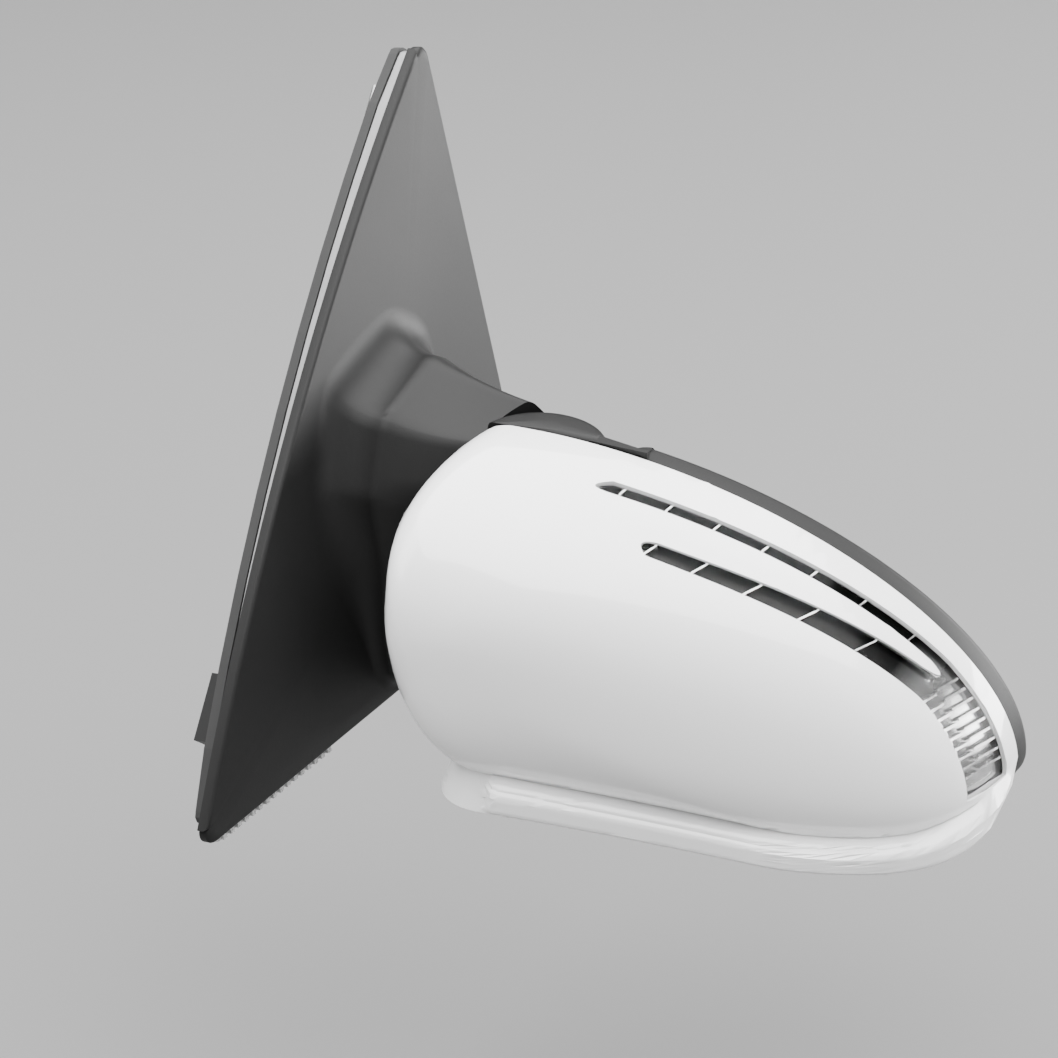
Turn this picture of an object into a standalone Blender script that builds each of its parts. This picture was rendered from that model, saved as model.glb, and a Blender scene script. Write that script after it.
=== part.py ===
"""Left-hand car door mirror as separate solids, one object for each piece.

Metres. +X points away from the door, +Y to the car's rear (the glass faces that way), +Z up.
The origin is in the middle of the face that meets the door.
"""

import math

import bpy
import bmesh
from mathutils import Matrix, Vector
from mathutils.geometry import delaunay_2d_cdt

# ---- Driving dimensions ----
GAP = 0.0003

# Base on the door: a triangle on a plane that leans in by LEAN.
LEAN = math.radians(12)
BASE_FRONT = (-0.140, -0.074)
BASE_TOP = (0.085, 0.172)
BASE_REAR = (0.095, -0.070)
BASE_FRONT_BOW = 0.012
LAYER_FRONT = (-0.130, -0.0735)
BASE_CORNER = 0.004
GASKET_THICK = 0.0046
GASKET_WIDTH = 0.010
FLANGE_THICK = 0.0050
COVER_RISE = 0.0045
COVER_WALL = 0.0025
PAD_INSET = 0.014

# Fold pivot and the foot that reaches it.
PIVOT_X = 0.085
PIVOT_Y = 0.004
BARREL_RADIUS = 0.0265
BARREL_WALL = 0.0022
FOOT_TOP = 0.059
FOOT_BOTTOM = -0.067
NECK_ROOT_TOP = 0.060
NECK_ROOT_BOTTOM = -0.066
NECK_GAP = 0.001
ARM_LOW = -0.0635
ARM_THICK = 0.0115
ARM_RISE = 0.2
ARM_FRONT = -0.004
ARM_REAR = 0.014
POST_RADIUS = 0.009
POST_BORE = 0.006
POST_TOP = 0.026
DISC_RADIUS = 0.023

# Housing.
HOUSING_REACH = 0.185
HOUSING_TOP = 0.056
HOUSING_BOTTOM = -0.073
CAP_INBOARD = 0.036
SEAM_Y = 0.012
SWEEP = 0.2
NOSE_X = -0.005
NOSE_Y = -0.0725
NOSE_Z = -0.0055
CAP_WALL = 0.0025
LENS_GAP = 0.0005
GUTTER_Z = -0.058
LIP_OUT = 0.0075
LIP_FADE = 0.045
BEZEL_DEPTH = 0.013
BEZEL_WALL = 0.0025
BEZEL_RIM = 0.006
BEZEL_OUTBOARD_OF_PIVOT = 0.019
BEZEL_BOTTOM = -0.067
BEZEL_CORNER = 0.016

# Glass and its drive.
GLASS_THICK = 0.002
GLASS_SINK = 0.006
GLASS_CLEAR = 0.0030
HEATER_THICK = 0.0007
CARRIER_THICK = 0.0025
TILT_BEHIND = 0.0145
TILT_RANGE = math.radians(8)
JACK_ARM = 0.019
JACK_RADIUS = 0.0026
CASE_RADIUS = 0.028
CASE_DEPTH = 0.016
CASE_WALL = 0.002

# Fold drive.
FOLD_GEAR_TEETH = 30
FOLD_GEAR_RADIUS = 0.0148
FOLD_WORM_RADIUS = 0.0046
WORM_CENTRES = 0.0200
WORM_Z = -0.031
MOTOR_RADIUS = 0.0095
MOTOR_START = 0.017
MOTOR_LENGTH = 0.017

# Frame of the base: u along +Y, v up the leaning plane, h out of the door.
BASE_OUT = Vector((math.cos(LEAN), 0, math.sin(LEAN)))
BASE_UP = Vector((-math.sin(LEAN), 0, math.cos(LEAN)))
BASE_ALONG = Vector((0, 1, 0))

FLANGE_LOW = GASKET_THICK + GAP
FLANGE_HIGH = FLANGE_LOW + FLANGE_THICK
COVER_LOW = FLANGE_HIGH + GAP
COVER_HIGH = COVER_LOW + COVER_RISE
PIVOT = Vector((PIVOT_X, PIVOT_Y, 0))
NOSE = Vector((PIVOT_X + NOSE_X, PIVOT_Y + NOSE_Y, NOSE_Z))


# ---- Looks ----
def look(name, colour, roughness, metallic=0.0):
    made = bpy.data.materials.get(name)
    if made is None:
        made = bpy.data.materials.new(name)
        made.use_nodes = True
        shader = made.node_tree.nodes["Principled BSDF"]
        shader.inputs["Base Color"].default_value = (*colour, 1)
        shader.inputs["Roughness"].default_value = roughness
        shader.inputs["Metallic"].default_value = metallic
    return made


WHITE_PAINT = ("white_paint", (0.88, 0.88, 0.88), 0.12)
SATIN_BLACK = ("satin_black", (0.015, 0.015, 0.017), 0.42)
GREY_PLASTIC = ("grey_plastic", (0.16, 0.16, 0.165), 0.6)
CAST_METAL = ("cast_metal", (0.35, 0.35, 0.36), 0.5, 1.0)
STEEL = ("steel", (0.55, 0.55, 0.56), 0.3, 1.0)
BRASS = ("brass", (0.7, 0.5, 0.2), 0.35, 1.0)
RUBBER = ("rubber", (0.03, 0.03, 0.03), 0.8)
FOAM = ("grey_foam", (0.25, 0.25, 0.25), 0.9)
CLEAR_LENS = ("clear_lens", (0.8, 0.82, 0.84), 0.05)
CHROME = ("chrome", (0.75, 0.75, 0.76), 0.12, 1.0)
BOARD_GREEN = ("circuit_board", (0.03, 0.12, 0.05), 0.5)
DRIVE_PLASTIC = ("drive_plastic", (0.75, 0.73, 0.66), 0.45)
HEATER_FILM = ("heater_film", (0.55, 0.3, 0.1), 0.5)
MIRROR = ("mirror", (0.85, 0.87, 0.9), 0.02, 1.0)


# ---- Making solids ----
def add_object(name, points, faces, finish, crease=40):
    """A mesh object with its faces turned outwards and its doubles joined."""
    shape = bmesh.new()
    corners = [shape.verts.new(point) for point in points]
    for face in faces:
        shape.faces.new([corners[i] for i in face])
    bmesh.ops.recalc_face_normals(shape, faces=shape.faces)
    if shape.calc_volume(signed=True) < 0:
        bmesh.ops.reverse_faces(shape, faces=shape.faces)
    mesh = bpy.data.meshes.new(name)
    shape.to_mesh(mesh)
    shape.free()
    mesh.shade_smooth()
    mesh.set_sharp_from_angle(angle=math.radians(crease))
    mesh.materials.append(look(*finish))
    made = bpy.data.objects.new(name, mesh)
    bpy.context.scene.collection.objects.link(made)
    return made


def combine(made, tool, operation):
    """Joins the hidden tool to the piece, or cuts it away."""
    tool.hide_render = True
    tool.hide_set(True)
    tool.display_type = "WIRE"
    change = made.modifiers.new(tool.name, "BOOLEAN")
    change.operation = operation
    change.solver = "EXACT"
    change.object = tool


def cut(made, *tools):
    for tool in tools:
        combine(made, tool, "DIFFERENCE")


def join(made, *tools):
    for tool in tools:
        combine(made, tool, "UNION")


def in_world(x, y, z):
    return Vector((x, y, z))


def on_base(u, v, h):
    return BASE_ALONG * u + BASE_UP * v + BASE_OUT * h


def on_seam(x, z, depth):
    """A point at depth behind the plane where cap and glass surround meet."""
    return Vector((x, seam_y(x) + depth, z))


def in_glass(across, up, out):
    """Frame of the glass: across is outboard in its plane, out is where it faces."""
    return GLASS_ORIGIN + GLASS_ACROSS * across + Vector((0, 0, up)) + GLASS_OUT * out


def fill(loops):
    """Points and triangles of the area inside the first loop and outside the rest."""
    points = [Vector(p[:2]) for loop in loops for p in loop]
    edges = []
    start = 0
    for loop in loops:
        edges += [(start + i, start + (i + 1) % len(loop)) for i in range(len(loop))]
        start += len(loop)
    found = delaunay_2d_cdt(points, edges, [], 0, 1e-7)
    kept = [tri for tri in found[2] if covered(sum((found[0][i] for i in tri), Vector((0, 0))) / 3, loops)]
    return found[0], kept


def covered(point, loops):
    return inside(point, loops[0]) and not any(inside(point, hole) for hole in loops[1:])


def inside(point, loop):
    hit = False
    for (ax, ay), (bx, by) in zip(loop, loop[1:] + loop[:1]):
        if (ay > point[1]) != (by > point[1]):
            hit ^= point[0] < ax + (point[1] - ay) * (bx - ax) / (by - ay)
    return hit


def skin_over(flat, triangles, outer, inner):
    """Points and faces of a shell: both skins of a triangulated area, stitched at its edges."""
    count = len(flat)
    points = [outer(p) for p in flat] + [inner(p) for p in flat]
    faces = [tuple(tri) for tri in triangles]
    faces += [tuple(i + count for i in reversed(tri)) for tri in triangles]
    sides = {(tri[k], tri[(k + 1) % 3]) for tri in triangles for k in range(3)}
    for a, b in sorted(sides):
        if (b, a) not in sides:
            faces.append((b, a, a + count, b + count))
    return points, faces


def plate(name, loops, low, high, finish, place=on_base):
    """A flat plate: loops[0] is its outline and the rest are its holes."""
    flat, triangles = fill(loops)
    shell = skin_over(flat, triangles, lambda p: place(*p, high), lambda p: place(*p, low))
    return add_object(name, *shell, finish)


def turned(name, profile, finish, place, steps=32):
    """A closed solid of revolution. The profile is a closed loop of (radius, height)."""
    points = []
    rows = []
    for radius, height in profile:
        if radius < 1e-9:
            rows.append([len(points)] * steps)
            points.append(place(0, 0, height))
            continue
        rows.append(list(range(len(points), len(points) + steps)))
        for k in range(steps):
            turn = math.tau * k / steps
            points.append(place(radius * math.cos(turn), radius * math.sin(turn), height))
    faces = []
    for low, high in zip(rows, rows[1:] + rows[:1]):
        for k in range(steps):
            n = (k + 1) % steps
            face = dict.fromkeys((low[k], low[n], high[n], high[k]))
            if len(face) > 2:
                faces.append(tuple(face))
    return add_object(name, points, faces, finish)


def ring_profile(inner, outer, low, high):
    return [(inner, low), (outer, low), (outer, high), (inner, high)]


def rod_profile(radius, low, high):
    return [(0, low), (radius, low), (radius, high), (0, high)]


def lofted(name, rings, finish, close=True):
    """Skins a list of equal rings. With close=False the last ring joins the first."""
    size = len(rings[0])
    points = [p for ring in rings for p in ring]
    faces = []
    pairs = len(rings) - 1 if close else len(rings)
    for r in range(pairs):
        a = r * size
        b = (r + 1) % len(rings) * size
        for k in range(size):
            n = (k + 1) % size
            faces.append((a + k, a + n, b + n, b + k))
    if close:
        for start, ring in ((0, rings[0]), ((len(rings) - 1) * size, rings[-1])):
            points.append(sum(ring, Vector()) / size)
            faces += [(start + k, start + (k + 1) % size, len(points) - 1) for k in range(size)]
    return add_object(name, points, faces, finish)


def moved_origin(made, spot):
    """Puts the object's origin on its joint without moving its shape."""
    made.data.transform(Matrix.Translation(-spot))
    made.location = spot
    return made


# ---- Outlines ----
def arc(centre_x, centre_y, radius_x, radius_y, start, end, steps, power=2.0):
    """Points on a superellipse arc, angles in degrees."""
    found = []
    for k in range(steps + 1):
        turn = math.radians(start + (end - start) * k / steps)
        cos, sin = math.cos(turn), math.sin(turn)
        along = math.copysign(abs(cos) ** (2 / power), cos)
        up = math.copysign(abs(sin) ** (2 / power), sin)
        found.append((centre_x + radius_x * along, centre_y + radius_y * up))
    return found


def without_repeats(loop, closer=1e-6):
    kept = [p for p, q in zip(loop, loop[-1:] + loop[:-1]) if math.dist(p, q) > closer]
    return kept


def circle(x, y, radius, steps=24):
    return arc(x, y, radius, radius, 0, 360 - 360 / steps, steps - 1)


def shrunk(loop, by):
    """A closed loop, counter-clockwise, moved inwards by the same distance all round."""
    found = []
    for before, here, after in zip(loop[-1:] + loop[:-1], loop, loop[1:] + loop[:1]):
        first = (Vector(here) - Vector(before)).normalized()
        second = (Vector(after) - Vector(here)).normalized()
        normal = Vector((-first.y, first.x)) + Vector((-second.y, second.x))
        normal.normalize()
        stretch = max(0.3, normal.dot(Vector((-first.y, first.x))))
        spot = Vector(here) + normal * by / stretch
        found.append((spot.x, spot.y))
    return found


def rounded(corners, radius, steps=5):
    """A polygon, counter-clockwise, with each corner rounded."""
    found = []
    for before, here, after in zip(corners[-1:] + corners[:-1], corners, corners[1:] + corners[:1]):
        here, before, after = Vector(here), Vector(before), Vector(after)
        back = (before - here).normalized()
        on = (after - here).normalized()
        half = math.acos(max(-1, min(1, back.dot(on)))) / 2
        reach = radius / math.tan(half)
        middle = here + (back + on).normalized() * radius / math.sin(half)
        start = here + back * reach - middle
        sweep = math.pi - 2 * half
        for k in range(steps + 1):
            turn = sweep * k / steps
            cos, sin = math.cos(turn), math.sin(turn)
            spot = middle + Vector((start.x * cos - start.y * sin, start.x * sin + start.y * cos))
            found.append((spot.x, spot.y))
    return found


def rectangle(x, y, width, height):
    return [
        (x - width / 2, y - height / 2),
        (x + width / 2, y - height / 2),
        (x + width / 2, y + height / 2),
        (x - width / 2, y + height / 2),
    ]


def base_outline(inset=0.0, front=BASE_FRONT):
    """The triangle with a bowed front edge, in (u, v), moved inwards by inset."""
    corners = shrunk([front, BASE_REAR, BASE_TOP], inset)
    top, front = Vector(corners[2]), Vector(corners[0])
    chord = front - top
    side = Vector((chord.y, -chord.x)).normalized()
    bow_steps = 10
    bow = []
    for k in range(1, bow_steps):
        part = k / bow_steps
        spot = top + chord * part + side * BASE_FRONT_BOW * 4 * part * (1 - part)
        bow.append((spot.x, spot.y))
    return rounded(corners, BASE_CORNER, 4) + bow


def cap_outline():
    """The housing's outline on its seam plane, as (x, z), counter-clockwise from the outboard end."""
    top_x = CAP_INNER_X + 0.030
    side_z = HOUSING_BOTTOM + 0.024
    points = arc(top_x, side_z, HOUSING_OUTER_X - top_x, HOUSING_TOP - side_z, 0, 90, 28, 1.83)
    points += arc(CAP_INNER_X + 0.022, HOUSING_TOP - 0.022, 0.022, 0.022, 90, 180, 6)
    points += arc(CAP_INNER_X + 0.050, 0.0286, 0.050, 0.0286 - HOUSING_BOTTOM, 180, 270, 14)
    points += arc(HOUSING_OUTER_X - 0.034, side_z, 0.034, 0.024, 270, 360, 8)
    return without_repeats(points)


def bezel_outline():
    """The glass surround's outline: the cap's, but with its own bottom and its own inboard side."""
    top_x = CAP_INNER_X + 0.030
    side_z = HOUSING_BOTTOM + 0.024
    top = arc(top_x, side_z, HOUSING_OUTER_X - 0.001 - top_x, HOUSING_TOP - 0.001 - side_z, 0, 90, 28, 1.83)
    corner = BEZEL_CORNER
    left = BEZEL_INNER_X
    points = [p for p in top if p[0] > left + corner]
    height = points[-1][1]
    points += arc(left + corner, height - corner, corner, corner + 0.0008, 88, 180, 6)
    points += arc(left + 0.022, BEZEL_BOTTOM + 0.022, 0.022, 0.022, 180, 270, 6)
    points += arc(HOUSING_OUTER_X - 0.031, side_z, 0.030, side_z - BEZEL_BOTTOM, 270, 360, 8)
    return without_repeats(points)


def reach(outline, x, z, turn):
    """Distance from (x, z) to the outline in direction turn."""
    dx, dz = math.cos(turn), math.sin(turn)
    best = 0.0
    for (ax, az), (bx, bz) in zip(outline, outline[1:] + outline[:1]):
        ex, ez = bx - ax, bz - az
        across = dx * ez - dz * ex
        if abs(across) < 1e-12:
            continue
        along = ((ax - x) * ez - (az - z) * ex) / across
        share = ((ax - x) * dz - (az - z) * dx) / across
        if -1e-9 <= share <= 1 + 1e-9 and along > best:
            best = along
    return best


# ---- The cap's surface ----
def seam_y(x):
    return SEAM_Y + SWEEP * (x - PIVOT_X)


HOUSING_OUTER_X = PIVOT_X + HOUSING_REACH
CAP_INNER_X = PIVOT_X - CAP_INBOARD
BEZEL_INNER_X = PIVOT_X + BEZEL_OUTBOARD_OF_PIVOT
CAP_OUTLINE = cap_outline()
ROUNDNESS = (2.66, 2.2, 3.1, 3.4)
NOSE_DEPTH = seam_y(NOSE.x) - NOSE.y
TURNS = 720
REACHES = [reach(CAP_OUTLINE, NOSE.x, NOSE.z, math.tau * k / TURNS) for k in range(TURNS)]


def smooth(value):
    value = min(1.0, max(0.0, value))
    return value * value * (3 - 2 * value)


def reach_at(turn):
    place = turn / math.tau % 1 * TURNS
    low = int(place) % TURNS
    share = place - int(place)
    return REACHES[low] * (1 - share) + REACHES[(low + 1) % TURNS] * share


def roundness(turn):
    place = turn / (math.pi / 2) % 4
    low = int(place)
    share = smooth(place - low)
    return ROUNDNESS[low] * (1 - share) + ROUNDNESS[(low + 1) % 4] * share


def dome(turn, rise):
    """The plain dome: rise is 0 at the nose and 1 at the seam."""
    power = 2 / roundness(turn)
    angle = min(1.0, max(0.0, rise)) * math.pi / 2
    out = reach_at(turn) * math.sin(angle) ** power
    x = NOSE.x + math.cos(turn) * out
    z = NOSE.z + math.sin(turn) * out
    deep = NOSE_DEPTH * max(0.0, math.cos(angle)) ** power
    return Vector((x, seam_y(x) - deep, z))


def gutter_z(x):
    """Height of the line under which the lower lip stands out."""
    lift = max(0.0, x - (HOUSING_OUTER_X - 0.025)) / 0.025
    return GUTTER_Z - 0.002 * (x - NOSE.x) / HOUSING_REACH + 0.012 * lift**1.5


def gutter_rise(turn):
    """Where the line crosses this meridian, or 1 if it doesn't."""
    if math.sin(turn) >= 0:
        return 1.0
    end = dome(turn, 1)
    if end.z > gutter_z(end.x):
        return 1.0
    low, high = 0.0, 1.0
    for _ in range(24):
        middle = (low + high) / 2
        spot = dome(turn, middle)
        if spot.z > gutter_z(spot.x):
            low = middle
        else:
            high = middle
    return high


GUTTER_RISES = [gutter_rise(math.tau * k / TURNS) for k in range(TURNS)]


def gutter_at(turn):
    place = turn / math.tau % 1 * TURNS
    low = int(place) % TURNS
    share = place - int(place)
    return GUTTER_RISES[low] * (1 - share) + GUTTER_RISES[(low + 1) % TURNS] * share


def lip_start(turn):
    """Where the lip leaves the dome, which way it stands out, and how much of it is left."""
    edge = gutter_at(turn)
    start = dome(turn, edge)
    ahead = dome(turn + 0.01, gutter_at(turn + 0.01)) - dome(turn - 0.01, gutter_at(turn - 0.01))
    outward = Vector((ahead.y, -ahead.x, 0)).normalized()
    left = min(1.0, (seam_y(start.x) - start.y) / LIP_FADE) ** 0.8
    return start, outward, left


def cap_point(turn, rise):
    """The cap's outer surface, with the lip under the gutter line."""
    edge = gutter_at(turn)
    if rise <= edge or edge >= 1:
        return dome(turn, rise)
    start, outward, left = lip_start(turn)
    share = (rise - edge) / (1 - edge)
    out = math.sin(min(1.0, share / 0.38) * math.pi / 2) * (1 - 0.3 * smooth((share - 0.8) / 0.2))
    drop = (start.z - HOUSING_BOTTOM) * left * share
    return start + outward * LIP_OUT * left * out - Vector((0, 0, drop))


def to_flat(turn, rise):
    """The flat map of the cap that areas are drawn on."""
    out = reach_at(turn) * rise
    return (math.cos(turn) * out, math.sin(turn) * out)


def from_flat(point):
    out = math.hypot(*point)
    turn = math.atan2(point[1], point[0])
    return turn, min(1.0, out / reach_at(turn))


def cap_at(point, sunk=0.0):
    """The point of the cap's surface at a place on the flat map, sunk under it along the dome's normal."""
    turn, rise = from_flat(point)
    here = cap_point(turn, rise)
    if sunk == 0:
        return here
    rise = min(max(rise, 0.02), gutter_at(turn), 0.995)
    across = dome(turn + 0.01, rise) - dome(turn - 0.01, rise)
    along = dome(turn, rise + 0.005) - dome(turn, rise - 0.005)
    return here - along.cross(across).normalized() * sunk


def depth_to_rise(turn, deep):
    """The rise at which the surface lies this far in front of the seam plane."""
    return math.acos(min(1.0, max(0.0, deep / NOSE_DEPTH)) ** (roundness(turn) / 2)) / (math.pi / 2)


def signal_line(near, drop, start_x, turn):
    """A line along the signal: near in front of the seam at start_x, closing in on it outboard."""
    x = dome(turn, 0.9).x
    for _ in range(4):
        share = max(0.0, (x - start_x) / (HOUSING_OUTER_X - 0.025 - start_x))
        rise = depth_to_rise(turn, near - drop * min(1.0, share) ** 1.5)
        x = dome(turn, rise).x
    return rise


def flat_grid(loops, spacing, creases=()):
    """Loops and crease lines plus a lattice of points inside them, triangulated."""
    xs = [p[0] for p in loops[0]]
    ys = [p[1] for p in loops[0]]
    fixed = [Vector(p) for loop in loops for p in loop]
    edges = []
    start = 0
    for loop in loops:
        edges += [(start + i, start + (i + 1) % len(loop)) for i in range(len(loop))]
        start += len(loop)
    for line in creases:
        edges += [(start + i, start + i + 1) for i in range(len(line) - 1)]
        fixed += [Vector(p) for p in line]
        start += len(line)
    points = []
    row = 0
    y = min(ys)
    while y < max(ys):
        x = min(xs) + (row % 2) * spacing / 2
        while x < max(xs):
            clear = all((p - Vector((x, y))).length > 0.6 * spacing for p in fixed)
            if clear and covered((x, y), loops):
                points.append(Vector((x, y)))
            x += spacing
        y += spacing * 0.866
        row += 1
    found = delaunay_2d_cdt(fixed + points, edges, [], 0, 1e-7)
    kept = [tri for tri in found[2] if covered(sum((found[0][i] for i in tri), Vector((0, 0))) / 3, loops)]
    return found[0], kept


def cap_patch(name, loops, top, bottom, finish, spacing, creases=()):
    """A shell that follows the cap between two depths under its surface."""
    flat, triangles = flat_grid(loops, spacing, creases)
    shell = skin_over(flat, triangles, lambda p: cap_at(p, top), lambda p: cap_at(p, bottom))
    return add_object(name, *shell, finish)


# ---- Painted cap and its turn signal ----
def turns_between(start, end, step=4):
    count = max(1, math.ceil(abs(end - start) / step))
    return [math.radians(start + (end - start) * k / count) for k in range(count + 1)]


OUTBOARD_TURN = max(t for t in range(-60, 0) if gutter_at(math.radians(t)) < 1)
TOP_TURN = 106
FREE_EDGE_RISE = 0.72
LIP_TURN = min(t for t in range(200, 300) if gutter_at(math.radians(t)) < FREE_EDGE_RISE - 0.02)


def free_edge_rise(turn):
    """The cap's inboard edge, which stays in front of the foot."""
    degrees = math.degrees(turn)
    return 1 - (1 - FREE_EDGE_RISE) * smooth((degrees - TOP_TURN) / 14)


def cap_loop():
    loop = [to_flat(turn, 1) for turn in turns_between(OUTBOARD_TURN, 0, 2) + turns_between(0, TOP_TURN)[1:]]
    loop += [to_flat(turn, free_edge_rise(turn)) for turn in turns_between(TOP_TURN, LIP_TURN, 6)]
    loop += [to_flat(turn, 1) for turn in turns_between(LIP_TURN, 360 + OUTBOARD_TURN, 3)]
    return without_repeats(loop, 1e-5)


def along_lip(share, shorter=0):
    """A line along the lip on the flat map: share is 0 at the gutter and 1 at the lip's bottom."""
    line = []
    for turn in turns_between(LIP_TURN + shorter, 360 + OUTBOARD_TURN - shorter, 3):
        edge = gutter_at(turn)
        line.append(to_flat(turn, edge + share * (1 - edge)))
    return line


SIGNAL_LINES = ((0.0192, 0.010, 0.120), (0.0259, 0.010, 0.120), (0.040, 0.020, 0.146), (0.0465, 0.0155, 0.146))
UPPER_TIP = (0.0240, 0.116)
LOWER_TIP = (0.0425, 0.144)
TONGUE_END = 0.5


def signal_point(line, turn, shift=0.0):
    near, drop, start = SIGNAL_LINES[line]
    return to_flat(turn, signal_line(near + shift, drop, start, turn))


def turn_at_x(x, deep):
    """The meridian on which the surface at this depth has this x, on the upper side."""
    low, high = -0.6, 1.9
    for _ in range(30):
        middle = (low + high) / 2
        spot = dome(middle, depth_to_rise(middle, deep))
        low, high = (middle, high) if spot.x > x else (low, middle)
    return low


def line_end(line, over=0.020):
    """The meridian, in degrees, where a line of the signal comes down to just over the gutter."""
    near, drop, start = SIGNAL_LINES[line]
    degrees = 0.0
    while signal_line(near, drop, start, math.radians(degrees)) < gutter_at(math.radians(degrees)) - over:
        degrees -= 0.25
    return degrees + 1


def signal_fork():
    """Outline of the lens: two prongs that meet at the outboard end."""
    upper = math.degrees(turn_at_x(UPPER_TIP[1], UPPER_TIP[0]))
    lower = math.degrees(turn_at_x(LOWER_TIP[1], LOWER_TIP[0]))
    start, end = line_end(0), line_end(3)
    loop = [signal_point(0, turn) for turn in turns_between(start, 0, 2) + turns_between(0, upper - 3, 5)[1:]]
    loop.append(to_flat(math.radians(upper), depth_to_rise(math.radians(upper), UPPER_TIP[0])))
    loop += [signal_point(1, turn) for turn in turns_between(upper - 5, TONGUE_END + 1.5, 5)]
    tongue = math.radians(TONGUE_END)
    inner, outer = (SIGNAL_LINES[k][0] - SIGNAL_LINES[k][1] for k in (2, 1))
    loop.append(to_flat(tongue, depth_to_rise(tongue, (inner + outer) / 2)))
    loop += [signal_point(2, turn) for turn in turns_between(TONGUE_END + 1.5, lower - 2, 5)]
    loop.append(to_flat(math.radians(lower), depth_to_rise(math.radians(lower), LOWER_TIP[0])))
    loop += [signal_point(3, turn) for turn in turns_between(lower - 3, 0, 5)[:-1] + turns_between(0, end, 2)]
    for turn in turns_between(end, start, 2)[1:-1]:
        rise = min(gutter_at(turn) - 0.020, signal_line(*SIGNAL_LINES[0], turn) - 0.003)
        loop.append(to_flat(turn, rise))
    return loop


def signal_band(margin, shorter):
    """Outline of a band under the lens, without the notch between the prongs."""
    upper = math.degrees(turn_at_x(UPPER_TIP[1], UPPER_TIP[0])) - shorter
    lower = math.degrees(turn_at_x(LOWER_TIP[1], LOWER_TIP[0])) - shorter
    start, end = line_end(0) + shorter / 2, line_end(3) + shorter / 2
    loop = [signal_point(0, turn, margin) for turn in turns_between(start, upper, 6)]
    loop += [signal_point(3, turn, -margin) for turn in turns_between(lower, end, 6)]
    return loop


def make_cap():
    fork = signal_fork()
    creases = [along_lip(0, 3), along_lip(0.3, 3)]
    cap_patch("painted_cap", [cap_loop(), fork], 0, CAP_WALL, WHITE_PAINT, 0.0105, creases)
    seat = shrunk(fork, LENS_GAP) if area(fork) > 0 else shrunk(fork[::-1], LENS_GAP)
    cap_patch("signal_lens", [seat], 0, 0.0018, CLEAR_LENS, 0.012)
    tray_depth = CAP_WALL + 0.0012
    tray_wall = 0.0012
    cap_patch("signal_reflector", [signal_band(0.001, 1)], tray_depth, tray_depth + tray_wall, CHROME, 0.013)
    board_depth = tray_depth + tray_wall + 0.0014
    cap_patch("signal_board", [signal_band(0.003, 6)], board_depth, board_depth + 0.0012, BOARD_GREEN, 0.013)


def area(loop):
    return sum(ax * by - bx * ay for (ax, ay), (bx, by) in zip(loop, loop[1:] + loop[:1])) / 2


# ---- Base on the door ----
NECK_CENTRE = (0.008, 0.0)
NECK_SPAN = 0.033
END_MIDDLE = math.radians(156)
END_HALF = math.radians(44)
END_RADIUS = BARREL_RADIUS + NECK_GAP
INSERT_SPOTS = ((-0.060, -0.045), (0.060, -0.045), (0.050, 0.070))
COVER_SCREW_SPOTS = ((-0.046, -0.020), (0.066, 0.030), (0.052, 0.110))
GROMMET_SPOT = (0.020, 0.012)
PEG_SPOT = (0.0812, 0.1270)
CLIP_SPOT = (0.0708, 0.1445)
CLIP_LENGTH = 0.020
CLIP_WIDTH = 0.0075
SOCKET_SPOT = (-0.0835, -0.0478)
SOCKET_LENGTH = 0.027
SOCKET_WIDTH = 0.015
PAD_END = -0.0665


def neck_root(inset):
    """The neck's section where it leaves the base, in (u, v)."""
    low, top = NECK_ROOT_BOTTOM, NECK_ROOT_TOP
    corners = [(-0.022, low), (0.040, low), (0.042, top - 0.010), (0.026, top), (-0.010, top - 0.012), (-0.024, 0.020)]
    return shrunk(rounded(corners, 0.012, 5), inset)


def neck_end(inset):
    """The neck's section at the pivot: across from front (-) to rear (+), and z."""
    low, top, side = FOOT_BOTTOM, FOOT_TOP, NECK_SPAN
    corners = [
        (-side, low),
        (side, low),
        (side, top - 0.009),
        (0.6 * side, top),
        (-0.55 * side, top - 0.012),
        (-side, top - 0.030),
    ]
    return shrunk(rounded(corners, 0.008, 4), inset)


def on_end(across, z, radius):
    """A point of the neck's hollow end, which wraps the barrel."""
    turn = END_MIDDLE - END_HALF * across / NECK_SPAN
    return Vector((PIVOT_X + radius * math.cos(turn), PIVOT_Y + radius * math.sin(turn), z))


def fillet_radius(turn):
    """The fillet at the neck's root: wide at the top and the front, tight at the bottom."""
    up, along = math.sin(turn), math.cos(turn)
    if up >= 0:
        side = 0.010 if along > 0 else 0.016
        return side * along * along + 0.020 * up * up
    side = 0.010 if along > 0 else 0.016
    return side * along * along + 0.003 * up * up


def ring_turns():
    """Angles round the neck's centre: the base outline's own points and steady ones between."""
    turns = []
    for u, v in base_outline():
        turns.append(math.atan2(v - NECK_CENTRE[1], u - NECK_CENTRE[0]) % math.tau)
    for k in range(40):
        turn = math.tau * k / 40
        if all(abs(turn - other) > 0.05 for other in turns):
            turns.append(turn)
    return sorted(turns)


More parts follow.
